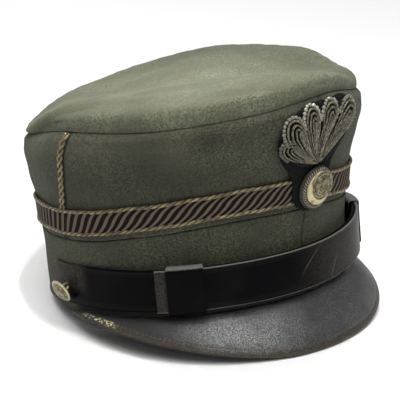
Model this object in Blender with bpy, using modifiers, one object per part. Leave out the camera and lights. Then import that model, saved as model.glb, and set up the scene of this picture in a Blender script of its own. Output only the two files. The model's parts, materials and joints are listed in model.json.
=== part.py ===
"""Kepi cap: cloth crown with a puffed top, lace, embroidered badge, leather peak and chin strap.

Lengths are in metres. The cap is modelled upright in its own frame: the origin is the centre of the
head opening, +Z is up, the front is toward -Y and the wearer's right toward -X. An angle round the
head is in degrees from the front toward the wearer's right. At the end the cap is set down as it
rests by itself, on the lip of its peak and the back edge of its band.
"""

from collections import namedtuple
from math import hypot, pi, radians, sin, tan

import bmesh
import bpy
import numpy as np
from mathutils import Matrix, Vector

MM = 0.001
GAP = 0.3 * MM
LAYER_GAP = 0.45 * MM
SAME_POINT = 0.001 * MM

# Head opening, band and crown
BAND_LENGTH = 192 * MM
BAND_WIDTH = 179 * MM
BAND_HEIGHT = 49 * MM
BAND_CLOTH = 2.4 * MM
CROWN_HEIGHT = 109 * MM
CROWN_CLOTH = 2.0 * MM
CROWN_FLARE = 13.5 * MM
TOP_FORWARD = 14 * MM
TOP_PUFF = 11 * MM
TOP_CLOTH = 2.0 * MM
TOP_FOLD = 2.2 * MM

# Lace round the crown and upright side cords
LACE_ABOVE_BAND = 4 * MM
LACE_WIDTH = 16 * MM
LACE_THICKNESS = 1.0 * MM
CORD_RADIUS = 1.1 * MM
CORD_TOP_ANGLE = 90
CORD_FOOT_ANGLE = 95

# Badge, on a fan that spreads from its root just above the boss
BADGE_RADIUS = 105 * MM
BADGE_SIDE = 3.5 * MM
BADGE_ROOT = 79 * MM
BADGE_ROOT_SIDE = 5.5 * MM
BADGE_REACH = 41 * MM
BACKING_MARGIN = 2 * MM
BACKING_THICKNESS = 1.2 * MM
BACKING_SETTLE_START = 5 * MM
BACKING_SETTLE_OVER = 14 * MM
PLUME_THICKNESS = 2.4 * MM
PLUME_RELIEF = 1.6 * MM
PLUME_LOBES = 5
LOBE_NOTCH = 0.14
PLUME_SPREAD = 140
BOSS_HEIGHT = 64.2 * MM
BOSS_RADIUS = 12.9 * MM
BOSS_BORE = 6.5 * MM
BOSS_THICKNESS = 3.6 * MM
DISC_RADIUS = 10.2 * MM
DISC_THICKNESS = 2.2 * MM

# Peak
PEAK_REACH = 18.8 * MM
PEAK_DROP = 29.6 * MM
PEAK_BULGE = 2.6 * MM
PEAK_LEATHER = 2.6 * MM
PEAK_TIP_ANGLE = 97

# Chin strap, its keepers and its buttons
STRAP_WIDTH = 25.3 * MM
STRAP_LEATHER = 1.8 * MM
STRAP_FRONT_HEIGHT = 16.3 * MM
STRAP_SIDE_RISE = 0.3 * MM
STRAP_BUTTON_END = 108
STRAP_FREE_END = 60.5
STRAP_ROUNDING = 5
STRAP_SETTLE_START = 4
STRAP_SETTLE_OVER = 22
STRAP_BOW = 3.5 * MM
STRAP_BOW_RISE = 4 * MM
STRAP_BOW_ANGLE = -48
STRAP_BOW_SPREAD = 26
KEEPER_LEATHER = 1.2 * MM
KEEPER_CORNER = 0.6 * MM
KEEPER_FROM = 44
KEEPER_TO = 56.5
BUTTON_ANGLE = 98
BUTTON_HEIGHT = 16 * MM
BUTTON_RADIUS = 7.5 * MM
BUTTON_DOME = 2.6 * MM
BUTTON_RIM = 1.0 * MM
SHANK_RADIUS = 1.5 * MM
SHANK_LENGTH = 6.5 * MM
SHANK_CLEARANCE = 0.9 * MM
BUTTON_DROOP = 24

# Fineness: facets round the head, of a turned piece, of the badge's felt and ring, and points in a lobe
FACETS = 72
TURNED_SIDES = 20
BACKING_SIDES = 28
BOSS_SIDES = 24
POINTS_IN_LOBE = 6
PEAK_FACETS = 44
HOLE_SIDES = 12
SHARP_ANGLE = 40

# Setting down: the widest tilt that is tried, and how often the range is halved
MOST_TILT = 30
HALVINGS = 40

# The cap's outline round the head. The outs are shares of BAND_WIDTH, the rises of CROWN_HEIGHT
Side = namedtuple("Side", "angle band_out waist_out rim_out rim_rise lace_rise")
SIDES = (
    Side(0, 0.000, 0.000, -0.006, 0.087, 0.018),
    Side(30, -0.011, 0.000, 0.011, 0.064, 0.037),
    Side(60, 0.000, 0.000, 0.016, 0.037, 0.007),
    Side(90, 0.013, 0.000, 0.006, 0.028, -0.041),
    Side(120, 0.000, -0.010, -0.008, -0.046, -0.056),
    Side(150, -0.015, -0.014, -0.015, -0.096, -0.080),
    Side(180, 0.000, -0.006, -0.009, -0.080, -0.070),
    Side(210, 0.008, 0.000, 0.007, -0.022, -0.045),
    Side(240, 0.003, 0.000, 0.019, 0.038, -0.025),
    Side(270, -0.013, 0.000, 0.010, 0.034, -0.030),
    Side(300, -0.003, 0.000, -0.013, -0.036, -0.055),
    Side(330, 0.011, 0.000, -0.021, 0.014, -0.037),
)

# The wall's upright section, as shares of its height, CROWN_FLARE, TOP_FORWARD and the outs above
Level = namedtuple("Level", "height flare forward waist rim")
LEVELS = (
    Level(0.00, 0.00, 0.00, 0.00, 0.00),
    Level(0.27, 0.00, 0.05, 0.30, 0.00),
    Level(0.45, 0.23, 0.17, 0.90, 0.21),
    Level(0.60, 0.41, 0.33, 1.00, 0.43),
    Level(0.78, 0.75, 0.60, 0.50, 0.70),
    Level(0.90, 0.98, 0.80, 0.10, 0.86),
    Level(0.96, 0.95, 0.91, 0.00, 0.95),
    Level(1.00, 0.70, 1.00, 0.00, 1.00),
)

# The top panel from its edge to its centre, as shares of the way in and of TOP_PUFF
Puff = namedtuple("Puff", "inward rise")
PUFFS = (
    Puff(0.000, 0.00),
    Puff(-0.005, 0.30),
    Puff(-0.003, 0.62),
    Puff(0.014, 0.90),
    Puff(0.065, 1.04),
    Puff(0.250, 1.10),
    Puff(0.600, 1.06),
    Puff(1.000, 1.00),
)

# The soft fold in the top panel, from the rim inward: shares of the way in and of TOP_FOLD
FOLD_ANGLE = 122
FOLD_TURN = -15
FOLD_SPREAD = 9
FOLD_LENGTH = 0.55
FOLD_START = 0.03

# Rows of points up the crown's wall, across the peak, and out from the badge's root, as shares
CROWN_ROWS = (0, 0.14, 0.3, 0.46, 0.62, 0.76, 0.88, 0.95, 1)
PEAK_ROWS = (0, 0.2, 0.42, 0.65, 0.85, 1)
BACKING_ROWS = (1, 0.92, 0.8, 0.62, 0.42, 0.2)

# The plume's rows out from the root, and how much of PLUME_RELIEF each has
Row = namedtuple("Row", "reach relief")
PLUME_ROWS = (
    Row(0.12, 0.24),
    Row(0.30, 0.60),
    Row(0.50, 1.00),
    Row(0.70, 1.00),
    Row(0.90, 0.90),
    Row(1.00, 0.50),
)

# The boss's section between its bore and its outer edge, as shares of that width and of its thickness
Ring = namedtuple("Ring", "width out")
BOSS_RINGS = (
    Ring(0.00, 0.00),
    Ring(1.00, 0.00),
    Ring(1.04, 0.35),
    Ring(0.84, 0.80),
    Ring(0.60, 1.00),
    Ring(0.00, 1.00),
    Ring(0.00, 0.00),
)

# The disc's and the button's domed faces from the edge to the middle, as shares of radius and rise
Dome = namedtuple("Dome", "radius rise")
DISC_DOME = (
    Dome(0.09, 0.00),
    Dome(1.00, 0.00),
    Dome(1.00, 0.50),
    Dome(0.75, 0.85),
    Dome(0.30, 1.00),
)
BUTTON_FACE = (
    Dome(0.00, 1.00),
    Dome(0.45, 0.86),
    Dome(0.80, 0.45),
    Dome(1.00, 0.00),
)

# The strap's rounded end, as shares of STRAP_ROUNDING back from it, and the half width lost there
ROUNDED_ROWS = (0.7, 0.4, 0.15, 0)
ROUNDED_LOSS = 0.85

# The peak's lip, as shares of PEAK_REACH and PEAK_DROP
Lip = namedtuple("Lip", "angle reach drop")
LIPS = (
    Lip(0, 1.00, 1.00),
    Lip(15, 1.00, 0.98),
    Lip(27, 1.00, 0.87),
    Lip(42, 0.97, 0.66),
    Lip(60, 0.84, 0.38),
    Lip(80, 0.50, 0.11),
    Lip(97, 0.15, 0.00),
)

# The badge's outline round its root: direction in degrees from straight up, reach as a share
Reach = namedtuple("Reach", "direction fan backing")
REACHES = (
    Reach(-180, 0.00, 0.66),
    Reach(-150, 0.00, 0.62),
    Reach(-120, 0.00, 0.45),
    Reach(-98, 0.10, 0.38),
    Reach(-80, 0.46, 0.53),
    Reach(-59, 0.92, 0.93),
    Reach(-38, 1.03, 1.01),
    Reach(-4, 0.86, 0.87),
    Reach(35, 0.95, 0.94),
    Reach(57, 0.84, 0.87),
    Reach(76, 0.52, 0.63),
    Reach(97, 0.12, 0.43),
    Reach(120, 0.00, 0.39),
    Reach(150, 0.00, 0.58),
    Reach(180, 0.00, 0.66),
)


def through(table, place, column, at, period=None):
    """Smooth curve through one column of a table, read at any places. It never swings past a row."""
    x = np.array([getattr(row, place) for row in table], float)
    y = np.array([getattr(row, column) for row in table], float)
    at = np.asarray(at, float)
    if period:
        x = np.concatenate([x[-2:] - period, x, x[:3] + period])
        y = np.concatenate([y[-2:], y, y[:3]])
        at = at % period
    rise = np.diff(y) / np.diff(x)
    same_way = np.maximum(rise[:-1] * rise[1:], 0)
    middle = 2 * same_way / np.where(same_way > 0, rise[:-1] + rise[1:], 1)
    slope = np.concatenate([rise[:1], middle, rise[-1:]])
    i = np.clip(np.searchsorted(x, at, side="right") - 1, 0, len(x) - 2)
    step = x[i + 1] - x[i]
    t = np.clip((at - x[i]) / step, 0, 1)
    start = (1 + 2 * t) * (1 - t) ** 2 * y[i] + t * (1 - t) ** 2 * step * slope[i]
    end = t**2 * (3 - 2 * t) * y[i + 1] - t**2 * (1 - t) * step * slope[i + 1]
    return start + end


def side(column, angle):
    return through(SIDES, "angle", column, angle, period=360)


def rim_height(angle):
    return CROWN_HEIGHT * (1 + side("rim_rise", angle))


def level_line(angle, height):
    """Height of a sewn line that follows the lace's slight waves."""
    return height + CROWN_HEIGHT * side("lace_rise", angle)


def wall(angle, height, out=0.0):
    """Points on the cap's outer cloth, or standing out from it, at a height above the opening."""
    angle, height, out = np.broadcast_arrays(np.asarray(angle, float), height, out)
    share = height / rim_height(angle)
    level = {column: through(LEVELS, "height", column, share) for column in Level._fields}
    cloth = (1 - level["rim"]) * side("band_out", angle) + level["rim"] * side("rim_out", angle)
    cloth += level["waist"] * side("waist_out", angle)
    reach = BAND_WIDTH * cloth + CROWN_FLARE * level["flare"] + out
    forward = TOP_FORWARD * level["forward"]
    turn = np.radians(angle)
    x = -(BAND_WIDTH / 2 + reach) * np.sin(turn)
    y = -(BAND_LENGTH / 2 + reach) * np.cos(turn) - forward
    return np.stack([x, y, height], -1)


def badge_point(across, up, out):
    """Points over the front of the wall: across toward the wearer's right, up from the opening."""
    return wall(np.degrees(across / BADGE_RADIUS), up, out)


def surface(grid, closed=False, centre=None):
    """Mesh of quads over rows of points; the rows close into rings, and the last may meet a centre."""
    mesh = bmesh.new()
    rows = [[mesh.verts.new(point) for point in row] for row in grid]
    count = len(rows[0])
    last = count if closed else count - 1
    for low, high in zip(rows, rows[1:]):
        for i in range(last):
            j = (i + 1) % count
            mesh.faces.new((low[i], high[i], high[j], low[j]))
    if centre is not None:
        middle = mesh.verts.new(centre)
        for i in range(last):
            mesh.faces.new((rows[-1][i], middle, rows[-1][(i + 1) % count]))
    return mesh


def add_object(name, mesh, material):
    data = bpy.data.meshes.new(name)
    mesh.to_mesh(data)
    mesh.free()
    data.shade_smooth()
    data.set_sharp_from_angle(angle=radians(SHARP_ANGLE))
    made = bpy.data.objects.new(name, data)
    made.data.materials.append(material)
    bpy.data.collections["kepi cap"].objects.link(made)
    made.parent = bpy.data.objects["cap as it rests"]
    return made


def add_shell(name, mesh, material, thickness, outward=False):
    """A sheet of cloth or leather: the surface is its outer face, or its inner one if outward."""
    made = add_object(name, mesh, material)
    solidify = made.modifiers.new("thickness", "SOLIDIFY")
    solidify.thickness = thickness
    solidify.offset = 1 if outward else -1
    solidify.use_even_offset = True
    return made


def material(name, colour, roughness, metallic=0.0):
    made = bpy.data.materials.new(name)
    made.use_nodes = True
    shader = made.node_tree.nodes["Principled BSDF"]
    shader.inputs["Base Color"].default_value = (*colour, 1)
    shader.inputs["Roughness"].default_value = roughness
    shader.inputs["Metallic"].default_value = metallic
    return made


def ring_angles():
    return np.arange(FACETS) * 360 / FACETS


def add_band(cloth):
    angle = ring_angles()
    top = level_line(angle, BAND_HEIGHT)
    rows = [wall(angle, top * share) for share in np.linspace(0, 1, 4)]
    add_shell("cap_band", surface(rows, closed=True), cloth, BAND_CLOTH)


def crown_heights(angle):
    """Heights of the crown wall's rows, from the band's seam to the rim, closer at the shoulder."""
    foot = level_line(angle, BAND_HEIGHT) + GAP
    return [foot + (rim_height(angle) - foot) * share for share in CROWN_ROWS]


def add_crown_wall(cloth):
    angle = ring_angles()
    rows = [wall(angle, height) for height in crown_heights(angle)]
    add_shell("crown_wall", surface(rows, closed=True), cloth, CROWN_CLOTH)


def fold_rise(angle, inward):
    """Height of the soft fold that runs from the rim inward, turning as it goes."""
    ridge = FOLD_ANGLE - FOLD_TURN * inward
    across = np.exp(-(((angle - ridge) / FOLD_SPREAD) ** 2))
    along = np.clip(1 - inward / FOLD_LENGTH, 0, 1) * np.clip(inward / FOLD_START, 0, 1)
    return TOP_FOLD * across * along


def add_crown_top(cloth):
    """The round top panel: its puffed edge stands on the wall's edge at the seam."""
    angle = ring_angles()
    edge = wall(angle, rim_height(angle))
    middle = edge.mean(axis=0)
    rows = []
    for puff in PUFFS[:-1]:
        row = edge + (middle - edge) * puff.inward
        row[:, 2] += GAP + TOP_PUFF * puff.rise + fold_rise(angle, puff.inward)
        rows.append(row)
    middle = middle + np.array([0, 0, GAP + TOP_PUFF * PUFFS[-1].rise])
    add_shell("crown_top", surface(rows, closed=True, centre=middle), cloth, TOP_CLOTH)


def lace_foot(angle):
    return level_line(angle, BAND_HEIGHT + LACE_ABOVE_BAND)


def add_lace(braid):
    angle = ring_angles()
    foot = lace_foot(angle)
    rows = [wall(angle, foot + LACE_WIDTH * share, LAYER_GAP) for share in (0, 0.5, 1)]
    add_shell("lace_band", surface(rows, closed=True), braid, LACE_THICKNESS, outward=True)


def add_side_cord(name, cord_side, braid):
    """Upright cord on one side, from the lace up to the rim's seam."""
    foot = lace_foot(CORD_FOOT_ANGLE * cord_side) + LACE_WIDTH + CORD_RADIUS
    top = rim_height(CORD_TOP_ANGLE * cord_side) - CORD_RADIUS
    between = [height for height in crown_heights(CORD_TOP_ANGLE * cord_side) if foot < height < top]
    heights = np.array([foot, *between, top])
    lean = (top - heights) / (top - foot)
    angle = cord_side * (CORD_TOP_ANGLE + (CORD_FOOT_ANGLE - CORD_TOP_ANGLE) * lean)
    points = wall(angle, heights, CORD_RADIUS + LAYER_GAP)
    curve = bpy.data.curves.new(name, "CURVE")
    curve.dimensions = "3D"
    curve.bevel_depth = CORD_RADIUS
    curve.bevel_resolution = 2
    curve.use_fill_caps = True
    line = curve.splines.new("POLY")
    line.points.add(len(points) - 1)
    for spot, point in zip(line.points, points):
        spot.co = (*point, 1)
    curve.materials.append(braid)
    made = bpy.data.objects.new(name, curve)
    bpy.data.collections["kepi cap"].objects.link(made)
    made.parent = bpy.data.objects["cap as it rests"]


def backing_out(up):
    """The backing clears the lace at its lower end and comes in to the cloth above it."""
    over_lace = LAYER_GAP + LACE_THICKNESS + LAYER_GAP
    lace_top = BAND_HEIGHT + LACE_ABOVE_BAND + LACE_WIDTH
    share = np.clip((up - lace_top - BACKING_SETTLE_START) / BACKING_SETTLE_OVER, 0, 1)
    return over_lace + (2 * LAYER_GAP - over_lace) * share * share * (3 - 2 * share)


def fan(direction, share, reach, out):
    """Points round the badge's root: a share of the reach in each direction from straight up."""
    turn = np.radians(direction)
    across = BADGE_ROOT_SIDE + reach * share * np.sin(turn)
    up = BADGE_ROOT + reach * share * np.cos(turn)
    return badge_point(across, up, backing_out(up) + out)


def add_badge_backing(felt):
    direction = 180 - np.arange(BACKING_SIDES) * 360 / BACKING_SIDES
    reach = BADGE_REACH * through(REACHES, "direction", "backing", direction) + BACKING_MARGIN
    rows = [fan(direction, share, reach, 0) for share in BACKING_ROWS]
    centre = fan(0, 0, 0, 0)
    mesh = surface(rows, closed=True, centre=centre)
    add_shell("badge_backing", mesh, felt, BACKING_THICKNESS, outward=True)


def add_badge_plume(bullion):
    """Embroidered fan: puffed lobes side by side, with rounded outer ends."""
    across = np.linspace(-1, 1, POINTS_IN_LOBE * PLUME_LOBES + 1)
    lobe = np.abs(np.cos(across * PLUME_LOBES * pi / 2))
    direction = across * PLUME_SPREAD / 2
    reach = BADGE_REACH * through(REACHES, "direction", "fan", direction)
    reach = reach * (1 - LOBE_NOTCH * (1 - lobe))
    rows = []
    for row in PLUME_ROWS:
        puffed = PLUME_RELIEF * row.relief * lobe
        rows.append(fan(direction, row.reach, reach, BACKING_THICKNESS + GAP + puffed))
    add_shell("badge_plume", surface(rows), bullion, PLUME_THICKNESS, outward=True)


def add_front_round(name, profile, material_used):
    """A round piece bent to the front of the wall: closed rings of (radius, standing out) points."""
    turn = np.arange(BOSS_SIDES) * 2 * pi / BOSS_SIDES
    base = backing_out(0) + BACKING_THICKNESS + GAP
    rows = []
    for radius, out in profile:
        across = BADGE_SIDE + radius * np.sin(turn)
        up = BOSS_HEIGHT + radius * np.cos(turn)
        rows.append(badge_point(across, up, base + out))
    mesh = surface(rows, closed=True)
    bmesh.ops.remove_doubles(mesh, verts=mesh.verts, dist=SAME_POINT)
    open_edges = [edge for edge in mesh.edges if edge.is_boundary]
    bmesh.ops.holes_fill(mesh, edges=open_edges, sides=len(turn))
    bmesh.ops.recalc_face_normals(mesh, faces=mesh.faces)
    add_object(name, mesh, material_used)


def add_badge_boss(rope):
    """Padded ring: broad at the backing, narrower where the disc sits on it."""
    width = BOSS_RADIUS - BOSS_BORE
    profile = [(BOSS_BORE + width * ring.width, BOSS_THICKNESS * ring.out) for ring in BOSS_RINGS]
    add_front_round("badge_boss", profile, rope)


def add_badge_disc(brass):
    """Domed disc that sits on the boss."""
    foot = BOSS_THICKNESS + GAP
    profile = [(DISC_RADIUS * dome.radius, foot + DISC_THICKNESS * dome.rise) for dome in DISC_DOME]
    add_front_round("badge_disc", profile, brass)


def add_peak(leather):
    """Visor from the band's lower edge to the lip, arched between the two."""
    angle = np.linspace(-PEAK_TIP_ANGLE, PEAK_TIP_ANGLE, PEAK_FACETS + 1)
    root = wall(angle, 0) - np.array([0, 0, GAP])
    turn = np.radians(angle)
    away = np.stack([-BAND_LENGTH * np.sin(turn), -BAND_WIDTH * np.cos(turn), 0 * turn], -1)
    away /= np.linalg.norm(away, axis=1)[:, None]
    reach = PEAK_REACH * through(LIPS, "angle", "reach", abs(angle))
    drop = PEAK_DROP * through(LIPS, "angle", "drop", abs(angle))
    length = np.hypot(reach, drop)
    rows = []
    for share in PEAK_ROWS:
        arch = 4 * share * (1 - share) * PEAK_BULGE * length / hypot(PEAK_REACH, PEAK_DROP)
        forth = reach * share + arch * drop / length
        down = drop * share - arch * reach / length
        rows.append(root + away * forth[:, None] - np.array([0, 0, 1]) * down[:, None])
    add_shell("peak", surface(rows[::-1]), leather, PEAK_LEATHER)


def strap_bow(angle):
    """Share of the bow by which the strap stands off the band on the wearer's left front."""
    return np.exp(-(((angle - STRAP_BOW_ANGLE) / STRAP_BOW_SPREAD) ** 2))


def strap_middle(angle):
    """Height of the strap's middle line, which rises toward the buttons and where it bows out."""
    rise = STRAP_SIDE_RISE * (1 - np.cos(np.radians(angle)))
    return STRAP_FRONT_HEIGHT + rise + STRAP_BOW_RISE * strap_bow(angle)


def under_strap_out(angle):
    return LAYER_GAP + KEEPER_LEATHER + LAYER_GAP + STRAP_BOW * strap_bow(angle)


def over_strap_out(angle):
    return under_strap_out(angle) + STRAP_LEATHER + LAYER_GAP


def facet_angles(start, end):
    """Two ends and the edges of the wall's facets between them, so that layers lie parallel."""
    step = 360 / FACETS
    edges = step * np.arange(np.floor(start / step) + 1, np.ceil(end / step))
    return np.concatenate([[start], edges, [end]])


def strap_angles(start, end):
    """As facet_angles, with closer angles at the rounded end by the button."""
    rounded = end - STRAP_ROUNDING * np.array(ROUNDED_ROWS)
    return np.concatenate([facet_angles(start, end - STRAP_ROUNDING), rounded])


def add_strap(name, button_side, strap_out, leather):
    """One half of the chin strap, from its button past the front to its free end in a keeper."""
    angle = strap_angles(-STRAP_FREE_END, STRAP_BUTTON_END)
    turned = angle * button_side
    rounding = np.clip(1 - (STRAP_BUTTON_END - angle) / STRAP_ROUNDING, 0, 1)
    half = STRAP_WIDTH / 2 * np.sqrt(1 - ROUNDED_LOSS * rounding**2)
    settle = np.clip((angle - STRAP_FREE_END - STRAP_SETTLE_START) / STRAP_SETTLE_OVER, 0, 1)
    settle = settle * settle * (3 - 2 * settle)
    away = strap_out(turned) * (1 - settle) + LAYER_GAP * settle
    middle = strap_middle(turned)
    rows = [wall(turned, middle + half * share, away) for share in (-1, 0, 1)]
    if button_side < 0:
        rows = rows[::-1]
    return add_shell(name, surface(rows), leather, STRAP_LEATHER, outward=True)


def add_keeper(name, keeper_side, leather):
    """Loop of leather round both layers of the strap."""
    angle = facet_angles(KEEPER_FROM, KEEPER_TO) * keeper_side
    inner = under_strap_out(angle) - LAYER_GAP
    outer = over_strap_out(angle) + STRAP_LEATHER + LAYER_GAP
    half = STRAP_WIDTH / 2 + LAYER_GAP
    corner = KEEPER_CORNER
    section = (
        (inner, half - corner),
        (inner, 0),
        (inner, corner - half),
        (inner + corner, -half),
        (outer - corner, -half),
        (outer, corner - half),
        (outer, 0),
        (outer, half - corner),
        (outer - corner, half),
        (inner + corner, half),
    )
    middle = strap_middle(angle)
    columns = [wall(angle, middle + up, out) for out, up in section]
    rings = np.stack(columns, axis=1)
    if keeper_side > 0:
        rings = rings[::-1]
    add_shell(name, surface(rings, closed=True), leather, KEEPER_LEATHER, outward=True)


def button_place(button_side):
    """Matrix that stands a piece built along +Z on the band where the button is sewn."""
    angle = BUTTON_ANGLE * button_side
    seat = Vector(wall(angle, BUTTON_HEIGHT, GAP + SHANK_RADIUS * sin(radians(BUTTON_DROOP))))
    turn = radians(angle)
    level = Vector((-BAND_LENGTH * np.sin(turn), -BAND_WIDTH * np.cos(turn), 0)).normalized()
    out = level - Vector((0, 0, tan(radians(BUTTON_DROOP))))
    return Matrix.Translation(seat) @ out.to_track_quat("Z", "Y").to_matrix().to_4x4()


def add_turned(name, profile, used):
    """A turned piece: (radius, height) points run down its outer side, from axis to axis."""
    mesh = bmesh.new()
    spots = [mesh.verts.new((radius, 0, height)) for radius, height in profile]
    for first, second in zip(spots, spots[1:]):
        mesh.edges.new((first, second))
    made = add_object(name, mesh, used)
    screw = made.modifiers.new("turned", "SCREW")
    screw.steps = TURNED_SIDES
    screw.render_steps = TURNED_SIDES
    screw.use_merge_vertices = True
    screw.merge_threshold = SAME_POINT
    return made


def add_button(name, button_side, metal):
    """Domed button on its shank."""
    rim = SHANK_LENGTH
    face = rim + BUTTON_RIM
    profile = (
        *[(BUTTON_RADIUS * dome.radius, face + BUTTON_DOME * dome.rise) for dome in BUTTON_FACE],
        (BUTTON_RADIUS, rim),
        (SHANK_RADIUS, rim),
        (SHANK_RADIUS, 0),
        (0, 0),
    )
    made = add_turned(name, profile, metal)
    made.matrix_local = button_place(button_side)


def cut_button_hole(strap, button_side, cutters):
    """Hole in the strap's end that the button's shank comes through."""
    bore = SHANK_RADIUS + SHANK_CLEARANCE
    bpy.ops.mesh.primitive_cylinder_add(vertices=HOLE_SIDES, radius=bore, depth=2 * SHANK_LENGTH)
    cutter = bpy.context.object
    cutter.name = strap.name + "_hole"
    cutter.users_collection[0].objects.unlink(cutter)
    cutters.objects.link(cutter)
    cutter.parent = bpy.data.objects["cap as it rests"]
    cutter.matrix_local = button_place(button_side)
    cutter.hide_render = True
    cutter.display_type = "WIRE"
    hole = strap.modifiers.new("button hole", "BOOLEAN")
    hole.operation = "DIFFERENCE"
    hole.solver = "EXACT"
    hole.object = cutter


def points_of(names):
    """Every point of the named pieces, in the cap's own upright frame."""
    graph = bpy.context.evaluated_depsgraph_get()
    points = []
    for name in names:
        made = bpy.data.objects[name].evaluated_get(graph)
        mesh = made.to_mesh()
        points += [made.matrix_world @ spot.co for spot in mesh.vertices]
        made.to_mesh_clear()
    return np.array(points)


def tilted(points, tilt):
    """Points with the front raised by the tilt."""
    y = points[:, 1] * np.cos(tilt) + points[:, 2] * np.sin(tilt)
    z = points[:, 2] * np.cos(tilt) - points[:, 1] * np.sin(tilt)
    return np.stack([points[:, 0], y, z], -1)


def set_down(stand):
    """Tilts and lifts the whole cap until the peak's lip and the band's back edge both touch z = 0."""
    bpy.context.view_layer.update()
    lip = points_of(["peak"])
    back = points_of(["cap_band"])
    low, high = 0.0, radians(MOST_TILT)
    for _ in range(HALVINGS):
        tilt = (low + high) / 2
        if tilted(lip, tilt)[:, 2].min() < tilted(back, tilt)[:, 2].min():
            low = tilt
        else:
            high = tilt
    names = [made.name for made in bpy.data.collections["kepi cap"].objects]
    rested = tilted(points_of(names), tilt)
    least, most = rested.min(axis=0), rested.max(axis=0)
    stand.rotation_euler = (-tilt, 0, 0)
    stand.location = (-(least[0] + most[0]) / 2, -(least[1] + most[1]) / 2, -least[2])
    bpy.context.view_layer.update()


def main():
    for leftover in list(bpy.data.objects):
        bpy.data.objects.remove(leftover)
    cap = bpy.data.collections.new("kepi cap")
    cutters = bpy.data.collections.new("cutters")
    for made in (cap, cutters):
        bpy.context.scene.collection.children.link(made)
    stand = bpy.data.objects.new("cap as it rests", None)
    bpy.context.scene.collection.objects.link(stand)

    cloth = material("grey green cloth", (0.10, 0.11, 0.085), 0.95)
    top_cloth = material("top cloth", (0.14, 0.15, 0.115), 0.95)
    braid = material("rank lace", (0.09, 0.065, 0.05), 0.7)
    gold = material("old gold cord", (0.22, 0.18, 0.10), 0.6)
    felt = material("dark felt", (0.012, 0.012, 0.015), 0.95)
    bullion = material("silver bullion", (0.30, 0.28, 0.22), 0.45, 0.6)
    rope = material("bullion rope", (0.10, 0.09, 0.09), 0.5, 0.5)
    brass = material("pale brass", (0.50, 0.44, 0.24), 0.5, 0.4)
    leather = material("black leather", (0.010, 0.010, 0.012), 0.35)
    peak_leather = material("peak leather", (0.020, 0.020, 0.019), 0.45)
    metal = material("button metal", (0.55, 0.52, 0.42), 0.35, 0.9)

    add_band(cloth)
    add_crown_wall(cloth)
    add_crown_top(top_cloth)
    add_lace(braid)
    add_side_cord("side_cord_right", 1, gold)
    add_side_cord("side_cord_left", -1, gold)
    add_badge_backing(felt)
    add_badge_plume(bullion)
    add_badge_boss(rope)
    add_badge_disc(brass)
    add_peak(peak_leather)
    right = add_strap("strap_from_right", 1, under_strap_out, leather)
    left = add_strap("strap_from_left", -1, over_strap_out, leather)
    for strap, button_side in ((right, 1), (left, -1)):
        cut_button_hole(strap, button_side, cutters)
    for place, keeper_side in (("right", 1), ("left", -1)):
        add_keeper("keeper_" + place, keeper_side, leather)
        add_button("button_" + place, keeper_side, metal)
    set_down(stand)


main()
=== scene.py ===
"""Looks of a worn kepi: felted wool, ribbed lace, a badge of metal thread, leather peak and chin strap.

Lengths are in metres. Shapes are worked out in the cap's own upright frame: the origin is the centre of
the head opening, +Z is up, the front is toward -Y and the wearer's right toward -X. An angle round the
head is in degrees from the front toward the wearer's right. The finished points are then tilted and
lifted as the cap rests.
"""

import json
from collections import namedtuple
from math import hypot, pi, radians, sin, tan

import bpy
import numpy as np
from bpy.props import FloatProperty, FloatVectorProperty, IntProperty, PointerProperty
from bpy.types import Operator, Panel, PropertyGroup
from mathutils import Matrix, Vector


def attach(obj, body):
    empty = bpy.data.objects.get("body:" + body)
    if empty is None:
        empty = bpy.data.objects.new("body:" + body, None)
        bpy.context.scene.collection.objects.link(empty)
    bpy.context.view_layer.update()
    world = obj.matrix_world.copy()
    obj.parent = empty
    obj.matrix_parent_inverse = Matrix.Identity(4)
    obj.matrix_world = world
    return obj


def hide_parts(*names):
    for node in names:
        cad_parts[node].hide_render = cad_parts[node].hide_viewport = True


bl_info = {
    "name": "Kepi cap",
    "version": (1, 0, 0),
    "blender": (4, 5, 0),
    "location": "3D View > Sidebar > Kepi",
    "description": "Dresses the frame of a kepi in felted wool, lace, metal thread and leather",
    "category": "Object",
}

MM = 0.001
BODY = "root"
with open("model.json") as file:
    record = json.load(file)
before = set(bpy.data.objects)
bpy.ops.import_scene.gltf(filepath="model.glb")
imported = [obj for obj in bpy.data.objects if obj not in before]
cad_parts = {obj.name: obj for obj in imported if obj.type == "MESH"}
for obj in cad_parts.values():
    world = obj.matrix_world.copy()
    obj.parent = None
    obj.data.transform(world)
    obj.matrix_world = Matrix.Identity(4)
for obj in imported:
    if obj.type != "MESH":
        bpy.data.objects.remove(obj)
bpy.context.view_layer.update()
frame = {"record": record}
opening = next(mount for mount in frame["record"]["mounts"] if mount["name"] == "head_opening")
OPENING = np.array(opening["pos_m"])
TILT = np.arctan2(-opening["axis"][1], -opening["axis"][2])

# Clearances between pieces, as the frame has them
GAP = 0.3 * MM
LAYER_GAP = 0.45 * MM

# The two sides of the head: the word in the pieces' names and the sign of the angles
BOTH_SIDES = (("right", 1), ("left", -1))

# Radius that turns widths at the cap's sides into angles
SIDE_RADIUS = 95 * MM

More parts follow.
